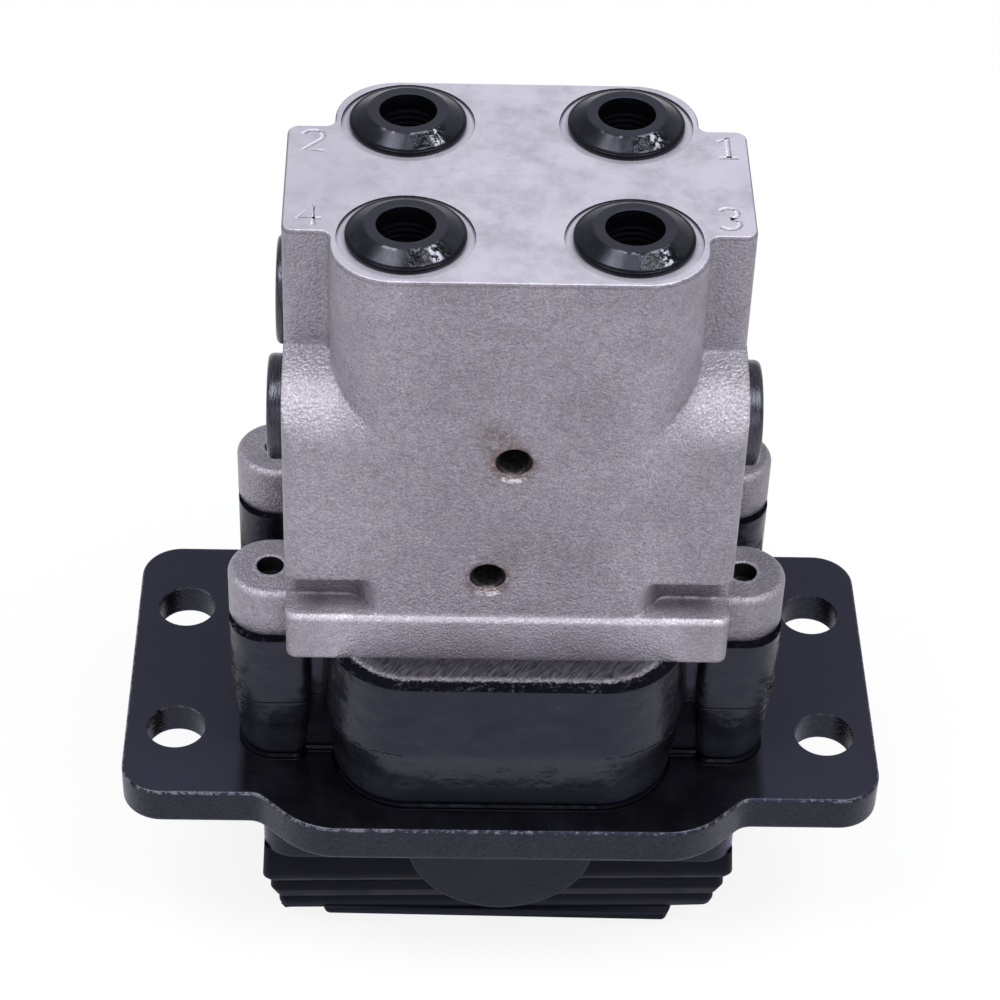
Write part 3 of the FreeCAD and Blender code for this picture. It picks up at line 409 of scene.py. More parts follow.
digit_strokes = {
    1: [[(-0.28, 0.30), (0.0, 0.5), (0.0, -0.5)], [(-0.28, -0.5), (0.28, -0.5)]],
    2: [arc(0.0, 0.22, 0.3, 0.28, 165, -35) + [(-0.3, -0.5), (0.32, -0.5)]],
    3: [arc(0.0, 0.25, 0.27, 0.25, 150, -80) + arc(0.0, -0.25, 0.3, 0.25, 80, -150)],
    4: [[(0.12, -0.5), (0.12, 0.5), (-0.34, -0.18), (0.34, -0.18)]],
}
digit_height = 7.2
groove_width = 1.1
strip_edges = (-0.5, -0.12, 0.22, 0.5)
digit_lift = 0.012
digit_places = {1: (43.5, 12.5), 2: (-42.3, 13.0), 3: (42.1, -12.4), 4: (-42.2, -12.9)}

groove_finishes = []
for side_name, deep_colour, high_colour in (
    ("shaded_groove_wall", (0.16, 0.155, 0.175), (0.34, 0.33, 0.37)),
    ("groove_floor", (0.44, 0.43, 0.48), (0.58, 0.565, 0.64)),
    ("lit_groove_wall", (0.62, 0.60, 0.68), (0.84, 0.82, 0.90)),
):
    finish, tree, shader, place = new_finish(side_name)
    scraped = fade(tree, cloud(tree, place, 0.7, 3.0), 0.35, 0.65)
    use(tree, shader, tint(tree, scraped, deep_colour, high_colour), 0.45)
    shader.inputs["Metallic"].default_value = 0.5
    groove_finishes.append(finish)

for number, strokes in digit_strokes.items():
    shape = bmesh.new()
    for stroke in strokes:
        points = [Vector((px, py, 0)) * digit_height for px, py in stroke]
        rows = []
        for index, point in enumerate(points):
            before = points[max(index - 1, 0)]
            after = points[min(index + 1, len(points) - 1)]
            way = (after - before).normalized()
            across = Vector((-way.y, way.x, 0)) * groove_width
            # The shaded wall is always on the left or upper side of the stroke.
            if across.x - across.y > 0:
                across = -across
            rows.append([shape.verts.new(point - across * share) for share in strip_edges])
        for first, second in zip(rows, rows[1:]):
            for strip in range(3):
                face = shape.faces.new((first[strip], second[strip], second[strip + 1], first[strip + 1]))
                face.material_index = 2 - strip
    middle_x, middle_y = digit_places[number]
    bmesh.ops.translate(shape, verts=shape.verts, vec=(middle_x, middle_y, port_face + digit_lift))
    for face in shape.faces:
        if face.normal.z < 0:
            face.normal_flip()
    digit = put_piece(shape, "port_number_%d" % number, smooth=False)
    for finish in groove_finishes:
        digit.data.materials.append(finish)
    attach(digit, "housing")


# Shipping plugs of the work ports
# Turned black plastic plugs pressed into the port threads. The rim is rounded, the cone
# leads up to a flat ring, and smears of clear grease stand on the cone.
def turn(name, profile, centre, axis_turn=None, segments=96, edge_width=0.0):
    """A piece turned from (radius, height) points in mm, with its edges rounded, in place."""
    shape = bmesh.new()
    chain = [shape.verts.new((radius, 0, height)) for radius, height in profile]
    for low, high in zip(chain, chain[1:]):
        shape.edges.new((low, high))
    bmesh.ops.spin(shape, geom=shape.verts[:] + shape.edges[:], cent=(0, 0, 0), axis=(0, 0, 1),
                   angle=2 * math.pi, steps=segments, use_merge=True)
    bmesh.ops.remove_doubles(shape, verts=shape.verts, dist=1e-4)
    bmesh.ops.recalc_face_normals(shape, faces=shape.faces)
    if edge_width:
        sharp_angle = math.radians(25)
        sharp = [edge for edge in shape.edges if edge.is_manifold and edge.calc_face_angle() > sharp_angle]
        bmesh.ops.bevel(shape, geom=sharp, offset=edge_width, offset_type="OFFSET", segments=3,
                        profile=0.5, affect="EDGES", material=-1, clamp_overlap=True)
    if axis_turn is not None:
        bmesh.ops.rotate(shape, verts=shape.verts, cent=(0, 0, 0), matrix=axis_turn)
    bmesh.ops.translate(shape, verts=shape.verts, vec=centre)
    return put_piece(shape, name)


port_places = {
    1: (port_half_x, port_half_y), 2: (-port_half_x, port_half_y),
    3: (port_half_x, -port_half_y), 4: (-port_half_x, -port_half_y),
}
plug_seat = port_face - 0.4
plug_profile = [
    (0, -9.0), (6.0, -9.0), (6.0, -8.2),
    (6.35, -7.6), (6.0, -7.0), (6.35, -6.2), (6.0, -5.6), (6.35, -4.8), (6.0, -4.2),
    (6.35, -3.4), (6.0, -2.8), (6.35, -2.0), (6.0, -1.4), (6.3, -0.6), (6.0, 0.2),
    (6.0, 3.5), (8.3, 3.5), (11.6, 1.35), (12.25, 1.3), (12.25, 0.0), (7.5, 0.0), (7.5, -11.0), (0, -11.0),
]
plastic_black = (0.0040, 0.0040, 0.0052)
plastic_worn = (0.020, 0.020, 0.026)
plastic_gloss = (0.80, 0.82, 1.0, 1.0)

greased_plastic, tree, shader, place = new_finish("greased_black_plastic")
x, y, z = parts_of(tree, place)
local_x = from_nearest(tree, x, port_half_x)
local_y = from_nearest(tree, y, port_half_y)
azimuth = calc(tree, "ARCTAN2", local_y, local_x)
from_axis = distance(tree, local_x, local_y)
on_ring = band(tree, from_axis, 5.9, 6.1, 8.1, 8.5)
on_cone = band(tree, from_axis, 8.3, 8.8, 11.2, 11.8)
# Painted streaks of sheen run down the cone at the front left, and a painted glint sits on the grease at
# the front right.
which = calc(tree, "ADD", times(tree, calc(tree, "SIGN", x), 7.0), times(tree, calc(tree, "SIGN", y), 3.0))
down_cone = add(tree, "CombineXYZ", X=times(tree, azimuth, 3.2), Y=times(tree, from_axis, 0.13), Z=which)
sheen_streaks = fade(tree, cloud(tree, down_cone.outputs[0], 1.0, 3.0, 0.6), 0.34, 0.66)
sheen_streaks = times(tree, sheen_streaks, within(tree, azimuth, -1.80, 0.15, 0.62), on_cone)
lumps = cloud(tree, place, 1.2, 2.0, 0.5)
smear = times(tree, within(tree, azimuth, -1.05, 0.30, 0.55), on_cone, fade(tree, lumps, 0.40, 0.55))
glint_spots = fade(tree, cloud(tree, place, 1.1, 3.0, 0.7), 0.485, 0.535)
glint = times(tree, within(tree, azimuth, -0.96, 0.07, 0.15), on_cone, glint_spots)
# A painted highlight runs along parts of the cone's top edge.
top_edge_highlight = times(tree, band(tree, from_axis, 8.2, 8.35, 8.6, 8.9), within(tree, azimuth, -1.5, 0.6, 0.85))
top_edge_highlight = times(tree, top_edge_highlight, fade(tree, cloud(tree, place, 2.2, 2.0, 0.6), 0.50, 0.58))
bright = calc(tree, "MAXIMUM", glint, times(tree, top_edge_highlight, 0.3))
dust = fade(tree, cloud(tree, place, 4.0, 5.0, 0.65), 0.4, 0.75)
colour = tint(tree, times(tree, dust, 0.35), plastic_black, plastic_worn)
colour = tint(tree, times(tree, on_ring, 0.9), colour, (0.014, 0.0135, 0.020))
colour = tint(tree, times(tree, sheen_streaks, 0.45), colour, (0.060, 0.058, 0.078))
colour = tint(tree, times(tree, smear, 0.9), colour, (0.0035, 0.0035, 0.005))
colour = tint(tree, times(tree, bright, 0.70), colour, (0.50, 0.50, 0.58))
# The bore is dark, with its thread just showing.
in_hole = times(tree, fade(tree, from_axis, 6.6, 6.45), fade(tree, z, plug_seat + 3.45, plug_seat + 3.2))
colour = tint(tree, in_hole, colour, (0.010, 0.0105, 0.015))
turning = add(tree, "TexWave", {"wave_type": "RINGS", "rings_direction": "Z"}, Scale=1.0, Distortion=0.0)
feed(tree, add(tree, "CombineXYZ", X=local_x, Y=local_y).outputs[0], turning.inputs["Vector"])
height = calc(tree, "ADD", times(tree, lumps, smear, 0.45), times(tree, turning.outputs["Fac"], 0.01))
rough = fade(tree, dust, 0.0, 1.0, 0.22, 0.32)
rough = calc(tree, "ADD", rough, times(tree, on_ring, 0.25))
rough = calc(tree, "SUBTRACT", rough, times(tree, smear, 0.08))
rough = calc(tree, "ADD", rough, times(tree, glint, 0.35))
# The cone is duller towards the left, under the dark part of the grease and on its rim.
dull = times(tree, fade(tree, local_x, -3.0, -9.0, 0.0, 0.30), on_cone)
dull = calc(tree, "MAXIMUM", times(tree, in_hole, 0.85), dull)
dull = calc(tree, "MAXIMUM", dull, times(tree, calc(tree, "SUBTRACT", smear, glint), 0.72))
on_rim = times(tree, fade(tree, from_axis, 11.35, 11.6), fade(tree, local_y, 2.0, -4.0))
dull = calc(tree, "MAXIMUM", dull, times(tree, on_rim, 0.6))
use(tree, shader, colour, rough, height, depth=0.35, metallic=dull)
feed(tree, times(tree, smear, 0.12), shader.inputs["Coat Weight"])
shader.inputs["Coat Roughness"].default_value = 0.08
shader.inputs["Specular Tint"].default_value = plastic_gloss
shader.inputs["Specular IOR Level"].default_value = 0.40

for number, (port_x, port_y) in port_places.items():
    plug = turn("plug_%d" % number, plug_profile, (port_x, port_y, plug_seat), edge_width=0.22)
    plug.data.materials.append(greased_plastic)
    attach(plug, "housing")
    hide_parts("port_plug_%d" % number)


# Shipping plugs of the side ports
# The same black plastic, blind, with a rounded rim and a slightly dished end. They stand out
# of the body's two sides by as much as each has been pressed in.
side_plastic, tree, shader, place = new_finish("black_plastic")
streak_place = add(tree, "Mapping", Vector=place, Scale=(3.0, 0.5, 0.5)).outputs[0]
streaks = fade(tree, cloud(tree, streak_place, 1.0, 3.0), 0.3, 0.7)
colour = tint(tree, streaks, plastic_black, (0.020, 0.020, 0.025))
use(tree, shader, colour, fade(tree, streaks, 0.0, 1.0, 0.20, 0.32), streaks, depth=0.05)
shader.inputs["Specular Tint"].default_value = plastic_gloss
shader.inputs["Specular IOR Level"].default_value = 0.85

body_side = 47.7
side_plugs = (("lower_left", -1, 78.5, 4.5), ("lower_right", 1, 78.5, 6.2), ("upper_left", -1, 110.2, 1.9))
for label, side, level, stand_out in side_plugs:
    dish = min(1.2, stand_out * 0.4)
    profile = [
        (0, stand_out - dish), (7.6, stand_out - dish), (8.4, stand_out), (10.9, stand_out),
        (11.5, stand_out - 0.8), (11.5, 0.0), (6.5, 0.0), (6.5, -9.0), (0, -9.0),
    ]
    lie = Matrix.Rotation(side * math.pi / 2, 3, "Y")
    plug = turn("side_plug_%s_shape" % label, profile, (side * body_side, 0, level), lie, edge_width=0.45)
    plug.data.materials.append(side_plastic)
    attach(plug, "housing")
    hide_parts("side_plug_" + label)


# Threads of the bracket holes and pad holes
# Cut threads seen inside the two holes on the body's front and the four in the pedal pads.
thread_steel, tree, shader, place = new_finish("dark_thread")
oily = fade(tree, cloud(tree, place, 1.2), 0.3, 0.7)
use(tree, shader, tint(tree, oily, (0.045, 0.042, 0.042), (0.16, 0.145, 0.14)), 0.38)
shader.inputs["Metallic"].default_value = 0.8
thread_pitch = 1.25
thread_crest = 3.05
thread_root = 3.38
bracket_hole_depth = 14.0
pad_hole_depth = 12.0
pad_hole_x = 24.0


def threaded_wall(name, mouth, turned_to, depth, rides_on):
    """The wall of a threaded hole, from just inside its mouth to its floor."""
    profile = []
    level = -0.7
    while level > -depth:
        profile.append((thread_root, level))
        profile.append((thread_crest, level - thread_pitch / 2))
        level -= thread_pitch
    profile.append((0, level))
    wall = turn(name, profile, mouth, turned_to, segments=48)
    wall.data.flip_normals()
    wall.data.materials.append(thread_steel)
    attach(wall, rides_on)


to_front = Matrix.Rotation(math.pi / 2, 3, "X")
downwards = Matrix.Rotation(math.pi, 3, "X")
for label, hole in zip(("upper", "lower"), rusty_holes):
    mouth = (hole[0], body_front, hole[1])
    name = "bracket_thread_" + label
    threaded_wall(name, mouth, to_front, bracket_hole_depth, "housing")
pad_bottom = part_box("cam_front")[0].z / MM
for row, row_y in (("front", -port_half_y), ("rear", port_half_y)):
    for end, hole_x in (("left", -pad_hole_x), ("right", pad_hole_x)):
        mouth = (hole_x, row_y, pad_bottom)
        name = "pad_thread_%s_%s" % (row, end)
        threaded_wall(name, mouth, downwards, pad_hole_depth, "cam_" + row)


# Cover with its mounting plate
# Cast iron under thick black paint that has run and sagged: glossy on the drafted walls, with painted
# highlights along the plate's edges, and ground off on top of the bulge inside a rough rim.
ground_half_length = 39.3
ground_half_width = 46.0
ground_radius = 18.8
rough_rim = 3.0
joint_face = 38.0
seam_height = 19.0
plate_bottom = -9.3
paint_black = (0.0030, 0.0030, 0.0040)
paint_grey = (0.0062, 0.0062, 0.0080)
paint_gloss = (0.64, 0.655, 1.0, 1.0)

cover_paint, tree, shader, place = new_finish("black_cover_paint")
x, y, z = parts_of(tree, place)
side_x = calc(tree, "ABSOLUTE", x)
side_y = calc(tree, "ABSOLUTE", y)
lumps = cloud(tree, place, 5.0, 2.0, 0.4)
skin = place_group(tree, sand_skin, place, Grain=0.7, Pit_Spacing=7.0, Pit_Size=0.05)
patches = fade(tree, cloud(tree, place, 10.0, 4.0, 0.6), 0.35, 0.7)
colour = tint(tree, patches, paint_black, paint_grey)
# The ground zone is the bulge's outline drawn in by the width of the rim.
corner_x = calc(tree, "SUBTRACT", side_x, ground_half_length - ground_radius)
corner_y = calc(tree, "SUBTRACT", side_y, ground_half_width - ground_radius)
past_corner = distance(
    tree, calc(tree, "MAXIMUM", corner_x, 0.0), calc(tree, "MAXIMUM", corner_y, 0.0)
)
inside = calc(tree, "SUBTRACT", ground_radius, past_corner)
ragged = times(tree, calc(tree, "SUBTRACT", cloud(tree, place, 0.7, 4.0, 0.8), 0.5), 3.2)
ragged_inside = calc(tree, "ADD", inside, ragged)
on_top = fade(tree, z, joint_face - 0.3, joint_face - 0.1)
bare = times(tree, on_top, fade(tree, ragged_inside, rough_rim - 0.25, rough_rim + 0.25))
rim = times(tree, on_top, calc(tree, "SUBTRACT", 1.0, bare))
hatch_place = add(tree, "Mapping", {"vector_type": "TEXTURE"}, Vector=place, Scale=(3.6, 0.5, 1.0),
                  Rotation=(0, 0, 0.95)).outputs[0]
hatch = fade(tree, cloud(tree, hatch_place, 1.0, 3.0, 0.65), 0.35, 0.65)
outermost = fade(tree, ragged_inside, rough_rim + 1.9, rough_rim + 0.2)
outermost = times(tree, outermost, fade(tree, cloud(tree, place, 0.6, 2.0, 0.7), 0.35, 0.6, 0.35, 0.9))
# The bare iron is painted darker towards the inside, as painted shade under the body's lip.
inner_painted_shade = fade(tree, inside, rough_rim + 1.0, rough_rim + 6.0, 0.0, 0.45)
iron = tint(tree, hatch, (0.017, 0.016, 0.018), (0.098, 0.092, 0.102))
iron = tint(tree, inner_painted_shade, iron, (0.016, 0.014, 0.016))
iron = tint(tree, outermost, iron, (0.33, 0.315, 0.34))
colour = tint(tree, bare, colour, iron)
# The plate's rounded edges carry a painted highlight in short broken lengths.
broken = calc(tree, "ADD", cloud(tree, place, 1.3, 4.0, 0.75), fade(tree, x, -14.0, -26.0, 0.0, 0.07))
upper_edge_highlight = times(tree, band(tree, z, -0.85, -0.50, -0.12, -0.01), fade(tree, broken, 0.50, 0.63))
colour = tint(tree, times(tree, upper_edge_highlight, 0.6), colour, (0.17, 0.166, 0.19))
lower_edge_highlight = band(tree, z, plate_bottom - 0.1, plate_bottom + 0.05, plate_bottom + 0.2, plate_bottom + 0.7)
colour = tint(tree, times(tree, lower_edge_highlight, 0.35), colour, (0.09, 0.088, 0.10))
# The seam of the mould shows as a hair line on the columns and as cracks on the bulge's corners.
seam_distance = calc(tree, "ABSOLUTE", calc(tree, "SUBTRACT", z, seam_height))
on_column = fade(tree, side_x, 41.0, 43.5)
on_corner = times(tree, fade(tree, corner_x, 1.0, 3.5), fade(tree, side_x, 42.0, 40.0))
cracked = times(tree, on_corner, fade(tree, cloud(tree, place, 2.5, 3.0), 0.42, 0.52))
seam = calc(tree, "MAXIMUM", cracked, times(tree, on_column, 0.6))
seam = times(tree, fade(tree, seam_distance, 0.35, 0.0), seam)
# Where the halves of the mould met badly, the paint has gathered in blobs on the columns' corners.
blob_zone = times(tree, fade(tree, seam_distance, 7.0, 2.0), fade(tree, side_x, 56.5, 58.5))
blobs = times(tree, blob_zone, fade(tree, cloud(tree, place, 2.2, 3.0, 0.6), 0.42, 0.60))
# The plate's top is painted lighter at both ends, as a painted reflection, and dull and black between
# them.
plate_top = band(tree, z, -0.12, -0.02, 0.1, 0.6)
painted_reflection_ends = times(tree, plate_top, fade(tree, side_x, 57.0, 60.0), 0.9)
colour = tint(tree, painted_reflection_ends, colour, (0.016, 0.0155, 0.024))
dull_top = times(tree, plate_top, fade(tree, side_x, 60.0, 57.0, 0.0, 0.38))
# The lower part of the walls is a little greyer.
low_wall = times(tree, band(tree, z, 1.6, 3.0, 7.0, 12.0), 0.8)
colour = tint(tree, low_wall, colour, (0.013, 0.013, 0.018))
# Paint dust lies matt and black on the rough rim, along the foot of the walls and underneath.
specks = fade(tree, cloud(tree, place, 1.1, 3.0, 0.7), 0.52, 0.68)
specks = times(tree, specks, fade(tree, cloud(tree, place, 7.0, 2.0), 0.42, 0.58))
colour = tint(tree, times(tree, rim, specks, 0.6), colour, (0.072, 0.072, 0.086))
matt = times(tree, rim, calc(tree, "SUBTRACT", 0.92, times(tree, specks, 0.7)))
at_foot = times(tree, band(tree, z, 0.02, 0.07, 1.3, 2.6), 0.82)
underside = fade(tree, z, plate_bottom - 0.2, plate_bottom - 0.8, 0.0, 0.40)
texture = fade(tree, cloud(tree, place, 0.55, 3.0, 0.75), 0.36, 0.64, 0.0, 0.34)
texture = times(tree, texture, fade(tree, z, -0.5, -0.9))
for matt_zone in (at_foot, underside, texture, dull_top):
    matt = calc(tree, "MAXIMUM", matt, matt_zone)
lump_share = calc(tree, "SUBTRACT", 1.0, times(tree, fade(tree, z, 0.6, 0.1), 0.85))
grain_share = fade(tree, z, -0.3, -0.9, 0.035, 0.10)
height = calc(tree, "ADD", times(tree, lumps, lump_share), times(tree, skin["Height"], grain_share))
height = calc(tree, "SUBTRACT", height, times(tree, seam, 0.9))
height = calc(tree, "ADD", height, times(tree, blobs, 0.9))
height = calc(tree, "ADD", height, times(tree, rim, cloud(tree, place, 0.8, 4.0, 0.8)))
rough = fade(tree, patches, 0.0, 1.0, 0.25, 0.34)
rough = calc(tree, "ADD", rough, times(tree, bare, 0.25))
rough = calc(tree, "ADD", rough, times(tree, rim, 0.25))
metallic = calc(tree, "MAXIMUM", times(tree, bare, 0.6), matt)
# The paint has smoothed the crease of the seam, but not the crease along the foot.
crease = fade(tree, seam_distance, 6.0, 2.5, 0.9, 3.2)
crease = times(tree, crease, calc(tree, "SUBTRACT", 1.0, band(tree, z, -0.35, -0.2, 2.4, 4.0)))
use(tree, shader, colour, rough, height, depth=0.5, metallic=metallic, soften=crease)
shader.inputs["Specular Tint"].default_value = paint_gloss
shader.inputs["Specular IOR Level"].default_value = 0.43
wear_finish(["cover_housing"], cover_paint)


# Rubber boots
# Moulded black boots, one round each pedal pad. The thick collar grips the cover's spigot,
# two folds let the pad rock, and the lip closes round the pad.

# Each ring of the outline: half length, half width, corner radius, height, and slope along the
# boot, since the rubber sits a little askew.
boot_rings = (
    (50.7, 14.7, 3.0, -30.9, 0.0), (50.3, 14.45, 3.0, -22.0, 0.0), (53.7, 17.2, 2.0, -22.0, 0.0),
    (54.2, 17.5, 2.0, -30.4, 0.029), (53.4, 16.9, 2.0, -31.7, 0.029), (51.6, 15.0, 1.9, -32.2, 0.029),
    (52.4, 15.8, 2.0, -33.2, 0.029), (52.6, 15.9, 2.0, -36.2, 0.027), (51.4, 15.4, 2.1, -38.8, 0.027),
    (49.4, 13.4, 2.0, -39.4, 0.027), (50.7, 14.1, 2.0, -40.3, 0.027), (50.8, 14.2, 2.0, -42.8, 0.027),
    (50.3, 13.9, 2.0, -44.4, 0.027), (41.6, 13.4, 2.0, -44.6, 0.010), (40.9, 14.5, 1.6, -45.0, -0.0125),
    (40.1, 14.6, 1.4, -47.3, -0.0125), (34.6, 9.5, 2.6, -47.3, -0.0125), (34.4, 9.35, 2.6, -43.2, 0.0),
    (45.6, 11.2, 2.8, -41.0, 0.0), (47.4, 11.8, 2.8, -31.0, 0.0),
)
boot_slope = 0.027
fold_edges = (-31.6, -38.7, -44.2, -47.1)
fold_rounding = 0.55
points_per_corner = 9

boot_rubber, tree, shader, place = new_finish("boot_rubber")
x, _, z = parts_of(tree, place)
level_z = calc(tree, "SUBTRACT", z, times(tree, x, boot_slope))
dusty = fade(tree, cloud(tree, place, 8.0, 5.0, 0.65), 0.35, 0.72)
colour = tint(tree, dusty, (0.0022, 0.0023, 0.0046), (0.0038, 0.0039, 0.0070))
# The lower, outer part of each fold is painted lighter, as painted light.
wear_and_painted_light = 0.0
for fold_edge in fold_edges:
    outer_part = band(tree, level_z, fold_edge - 0.3, fold_edge + 0.3, fold_edge + 1.2, fold_edge + 3.0)
    wear_and_painted_light = calc(tree, "MAXIMUM", wear_and_painted_light, outer_part)
colour = tint(tree, times(tree, wear_and_painted_light, 0.8), colour, (0.015, 0.015, 0.022))
rough = fade(tree, dusty, 0.0, 1.0, 0.46, 0.60)
use(tree, shader, colour, rough, cloud(tree, place, 0.6, 3.0), depth=0.03)
shader.inputs["Specular Tint"].default_value = paint_gloss
shader.inputs["Specular IOR Level"].default_value = 0.09


def boot_ring(shape, half_x, half_y, radius, level, slope, row_y):
    """One rounded rectangle of a boot as a closed loop of edges."""
    ring = []
    for quarter, (side_x, side_y) in enumerate(((1, 1), (-1, 1), (-1, -1), (1, -1))):
        for step in range(points_per_corner):
            angle = math.pi / 2 * (quarter + step / (points_per_corner - 1))
            px = side_x * (half_x - radius) + radius * math.cos(angle)
            py = side_y * (half_y - radius) + radius * math.sin(angle)
            ring.append(shape.verts.new((px, py + row_y, level + slope * px)))
    return [shape.edges.new((ring[index - 1], ring[index])) for index in range(len(ring))]


for row, row_y in (("front", -port_half_y), ("rear", port_half_y)):
    shape = bmesh.new()
    loops = [boot_ring(shape, *ring, row_y) for ring in boot_rings]
    for upper, lower in zip(loops, loops[1:] + loops[:1]):
        bmesh.ops.bridge_loops(shape, edges=upper + lower)
    bmesh.ops.recalc_face_normals(shape, faces=shape.faces)
    folds = [edge for loop in loops for edge in loop]
    bmesh.ops.bevel(shape, geom=folds, offset=fold_rounding, offset_type="OFFSET", segments=4,
                    profile=0.5, affect="EDGES", material=-1, clamp_overlap=True)
    boot = put_piece(shape, "boot_" + row)
    boot.data.materials.append(boot_rubber)
    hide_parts("bellows_" + row)
    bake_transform(boot)


# Cams
# Cast iron rockers with a phosphated, slightly oily skin. Their ground pads stand on the bench.
cam_iron, tree, shader, place = new_finish("phosphated_iron")
skin = place_group(tree, sand_skin, place, Grain=0.8, Pit_Spacing=6.0, Pit_Size=0.07)
z = parts_of(tree, place)[2]
colour = tint(tree, fade(tree, skin["Speckle"], 0.3, 0.7), (0.045, 0.045, 0.048), (0.085, 0.083, 0.086))
ground = fade(tree, z, pad_bottom + 0.3, pad_bottom + 0.1)
colour = tint(tree, ground, colour, (0.30, 0.29, 0.30))
use(tree, shader, colour, fade(tree, skin["Clouds"], 0.3, 0.7, 0.4, 0.6), skin["Height"], depth=0.12)
shader.inputs["Metallic"].default_value = 0.6
wear_finish(["cam_front", "cam_rear"], cam_iron)


# Shaft, push rods, spring seats and spools
# Hardened and ground steel, with fine marks round each piece and a trace of oil.
ground_steel, tree, shader, place = new_finish("ground_steel")
marks = fade(tree, cloud(tree, place, 0.5, 4.0, 0.7), 0.3, 0.7)
oil = fade(tree, cloud(tree, place, 5.0), 0.4, 0.7)
colour = tint(tree, marks, (0.50, 0.50, 0.51), (0.66, 0.66, 0.67))
use(tree, shader, colour, fade(tree, oil, 0.0, 1.0, 0.24, 0.36), marks, depth=0.01)
shader.inputs["Metallic"].default_value = 1.0
steel_pieces = ["pivot_shaft"]
for number in port_places:
    steel_pieces += ["push_rod_%d" % number, "spring_seat_%d" % number, "spool_%d" % number]
wear_finish(steel_pieces, ground_steel)


# Screws and nuts
# Blackened steel: the cover screws, the shaft's grub screw, the adjusting screws and their nuts.
black_steel, tree, shader, place = new_finish("blackened_steel")
wear_and_painted_light = fade(tree, cloud(tree, place, 1.5, 4.0, 0.7), 0.45, 0.75)
colour = tint(tree, wear_and_painted_light, (0.035, 0.035, 0.038), (0.12, 0.12, 0.125))
use(tree, shader, colour, fade(tree, wear_and_painted_light, 0.0, 1.0, 0.45, 0.3), wear_and_painted_light, depth=0.02)
shader.inputs["Metallic"].default_value = 0.9
wear_finish(["cover_screws", "shaft_lock_screw"], black_steel)
for row in ("front", "rear"):
    wear_finish(["adjusting_screws_" + row, "lock_nuts_" + row], black_steel)


# Springs
# Drawn spring wire, bright under a film of oil. Each coil has a flat end turn at both ends, and
# runs between its fixed end above and the seat on the push rod below.
spring_wire, tree, shader, place = new_finish("spring_wire")
drawn = fade(tree, cloud(tree, place, 0.6, 3.0), 0.3, 0.7)
colour = tint(tree, drawn, (0.22, 0.22, 0.235), (0.40, 0.40, 0.42))
use(tree, shader, colour, 0.32, drawn, depth=0.01)
shader.inputs["Metallic"].default_value = 1.0
end_turn = 0.75
steps_per_turn = 24
# Radius of the coil, thickness of the wire, and turns.
return_coil = (8.5, 2.0, 4.5)
metering_coil = (4.5, 1.2, 5.0)


def wind(name, port_x, port_y, coil_radius, wire, turns, rod):
    """A spring of round wire between the ends of its construction node, in place."""
    low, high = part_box(name)
    bottom = low.z / MM + wire / 2
    top = high.z / MM - wire / 2
    shape = bmesh.new()
    bmesh.ops.create_circle(shape, segments=10, radius=wire / 2)
    bmesh.ops.rotate(shape, verts=shape.verts, cent=(0, 0, 0), matrix=Matrix.Rotation(math.pi / 2, 3, "X"))
    bmesh.ops.translate(shape, verts=shape.verts, vec=(port_x + coil_radius, port_y, bottom))
    tip = shape.verts[:] + shape.edges[:]
    for part_turns, rise in ((end_turn, 0.0), (turns - 2 * end_turn, top - bottom), (end_turn, 0.0)):
        steps = round(part_turns * steps_per_turn)
        run = bmesh.ops.spin(shape, geom=tip, cent=(port_x, port_y, 0), axis=(0, 0, 1), steps=steps,
                             angle=2 * math.pi * part_turns, dvec=(0, 0, rise / steps))
        tip = run["geom_last"]
    bmesh.ops.holes_fill(shape, edges=[edge for edge in shape.edges if edge.is_boundary])
    bmesh.ops.recalc_face_normals(shape, faces=shape.faces)
    coil = put_piece(shape, "coil_" + name)
    coil.data.materials.append(spring_wire)
    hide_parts(name)
    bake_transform(coil)


for number, (port_x, port_y) in port_places.items():
    rod = "push_rod_%d" % number
    wind("return_spring_%d" % number, port_x, port_y, *return_coil, rod)
    wind("metering_spring_%d" % number, port_x, port_y, *metering_coil, rod)


# Guides and bushes
# Turned bronze, with the lathe's rings still on it.
bronze, tree, shader, place = new_finish("turned_bronze")
turned_rings = fade(tree, cloud(tree, place, 0.7, 3.0), 0.3, 0.7)
colour = tint(tree, turned_rings, (0.46, 0.31, 0.13), (0.62, 0.45, 0.22))
use(tree, shader, colour, 0.35, turned_rings, depth=0.015)
shader.inputs["Metallic"].default_value = 1.0
wear_finish(["cam_bushes_front", "cam_bushes_rear"], bronze)
wear_finish(["rod_guide_%d" % number for number in port_places], bronze)


# Seals
# Black nitrile rubber: O-rings round the guides and lip seals on the rods.
seal_rubber, tree, shader, place = new_finish("seal_rubber")
oiled = fade(tree, cloud(tree, place, 1.0), 0.35, 0.7)
use(tree, shader, tint(tree, oiled, (0.010, 0.010, 0.011), (0.022, 0.022, 0.024)), 0.45, oiled, depth=0.02)
wear_finish(["guide_o_rings", "rod_seals"], seal_rubber)


# Bench
# A plain pale surface under the pedal pads, wide enough to fill the view.
shape = bmesh.new()
bmesh.ops.create_grid(shape, x_segments=1, y_segments=1, size=6000.0)
bmesh.ops.translate(shape, verts=shape.verts, vec=(0, 0, construction_box[0][2] / MM - 0.2))
bench = put_piece(shape, "bench", smooth=False)
bench_white, tree, shader, place = new_finish("bench_white")
shader.inputs["Base Color"].default_value = (0.80, 0.80, 0.82, 1.0)
shader.inputs["Roughness"].default_value = 0.85
shader.inputs["Specular IOR Level"].default_value = 0.1
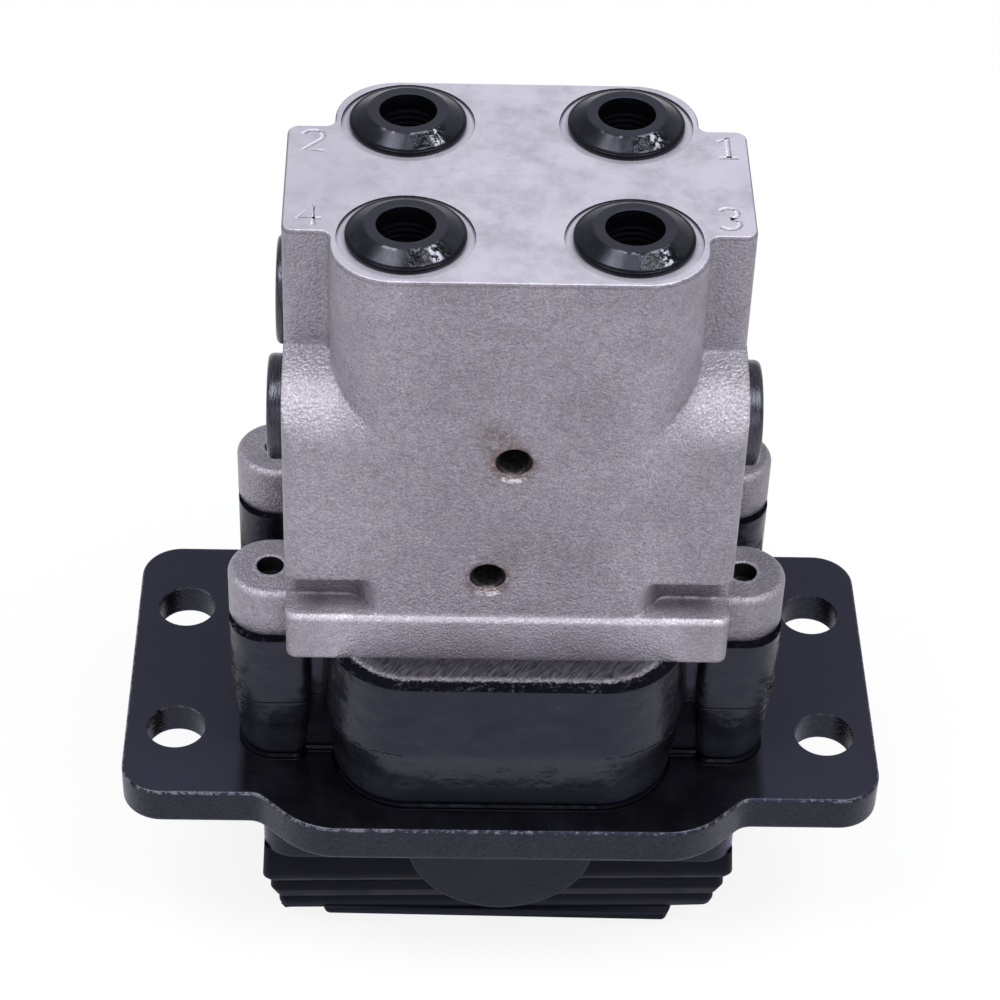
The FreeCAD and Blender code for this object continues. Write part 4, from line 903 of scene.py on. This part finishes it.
# Seen directly or in a reflection the bench is nearly white, and keeps part of the object's shadow.
shown = add(tree, "LightPath").outputs
seen = calc(tree, "MAXIMUM", shown["Is Camera Ray"], shown["Is Glossy Ray"])
seen = calc(tree, "MAXIMUM", seen, shown["Is Transmission Ray"])
white = add(tree, "Emission", Color=(1.0, 1.0, 1.0, 1.0), Strength=1.0)
blend = add(tree, "MixShader", Fac=times(tree, seen, 0.87))
tree.links.new(shader.outputs[0], blend.inputs[1])
tree.links.new(white.outputs[0], blend.inputs[2])
tree.links.new(blend.outputs[0], tree.nodes["Material Output"].inputs["Surface"])
bench.data.materials.append(bench_white)


# Light
# Two soft boxes overhead, side by side, a weak one to the front right, and an even pale room.
def soft_box(name, place, target, size, watts):
    """A square area lamp at a place in metres, facing a target."""
    lamp = bpy.data.lights.new(name, "AREA")
    lamp.shape = "SQUARE"
    lamp.size = size
    lamp.energy = watts
    box = bpy.data.objects.new(name, lamp)
    bpy.context.scene.collection.objects.link(box)
    box.location = place
    box.rotation_euler = (Vector(target) - Vector(place)).to_track_quat("-Z", "Y").to_euler()


soft_box("overhead_box_left", (-0.46, -0.30, 1.18), (0, 0, 0.05), 0.62, 10.4)
soft_box("overhead_box_right", (0.52, -0.33, 1.15), (0, 0, 0.05), 0.62, 11.0)
soft_box("front_box", (0.10, -1.15, 0.60), (0, 0, 0.05), 0.6, 3.0)
room = bpy.data.worlds.new("room")
bpy.context.scene.world = room
room.use_nodes = True
room.node_tree.nodes["Background"].inputs["Color"].default_value = (0.90, 0.92, 1.0, 1.0)
room.node_tree.nodes["Background"].inputs["Strength"].default_value = 0.5


# Camera
# A long lens a good half metre away, looking down at the front, turned slightly to the right.
camera_place = Vector((-0.01978, -0.51985, 0.50683))
look = Vector((0.016074, 0.749275, -0.662063)).normalized()
roll = math.radians(1.614)
focal_length = 111.99
level_right = look.cross(Vector((0, 0, 1))).normalized()
level_up = level_right.cross(look)
right = level_right * math.cos(roll) + level_up * math.sin(roll)
up = level_up * math.cos(roll) - level_right * math.sin(roll)
lens = bpy.data.cameras.new("camera")
lens.sensor_width = 36.0
lens.lens = focal_length
lens.shift_x = 0.0331
lens.shift_y = 0.0159
lens.clip_start = 0.01
camera = bpy.data.objects.new("camera", lens)
bpy.context.scene.collection.objects.link(camera)
axes = Matrix((right, up, -look)).transposed()
camera.matrix_world = Matrix.Translation(camera_place) @ axes.to_4x4()
bpy.context.scene.camera = camera
bpy.context.scene.view_settings.view_transform = "Standard"
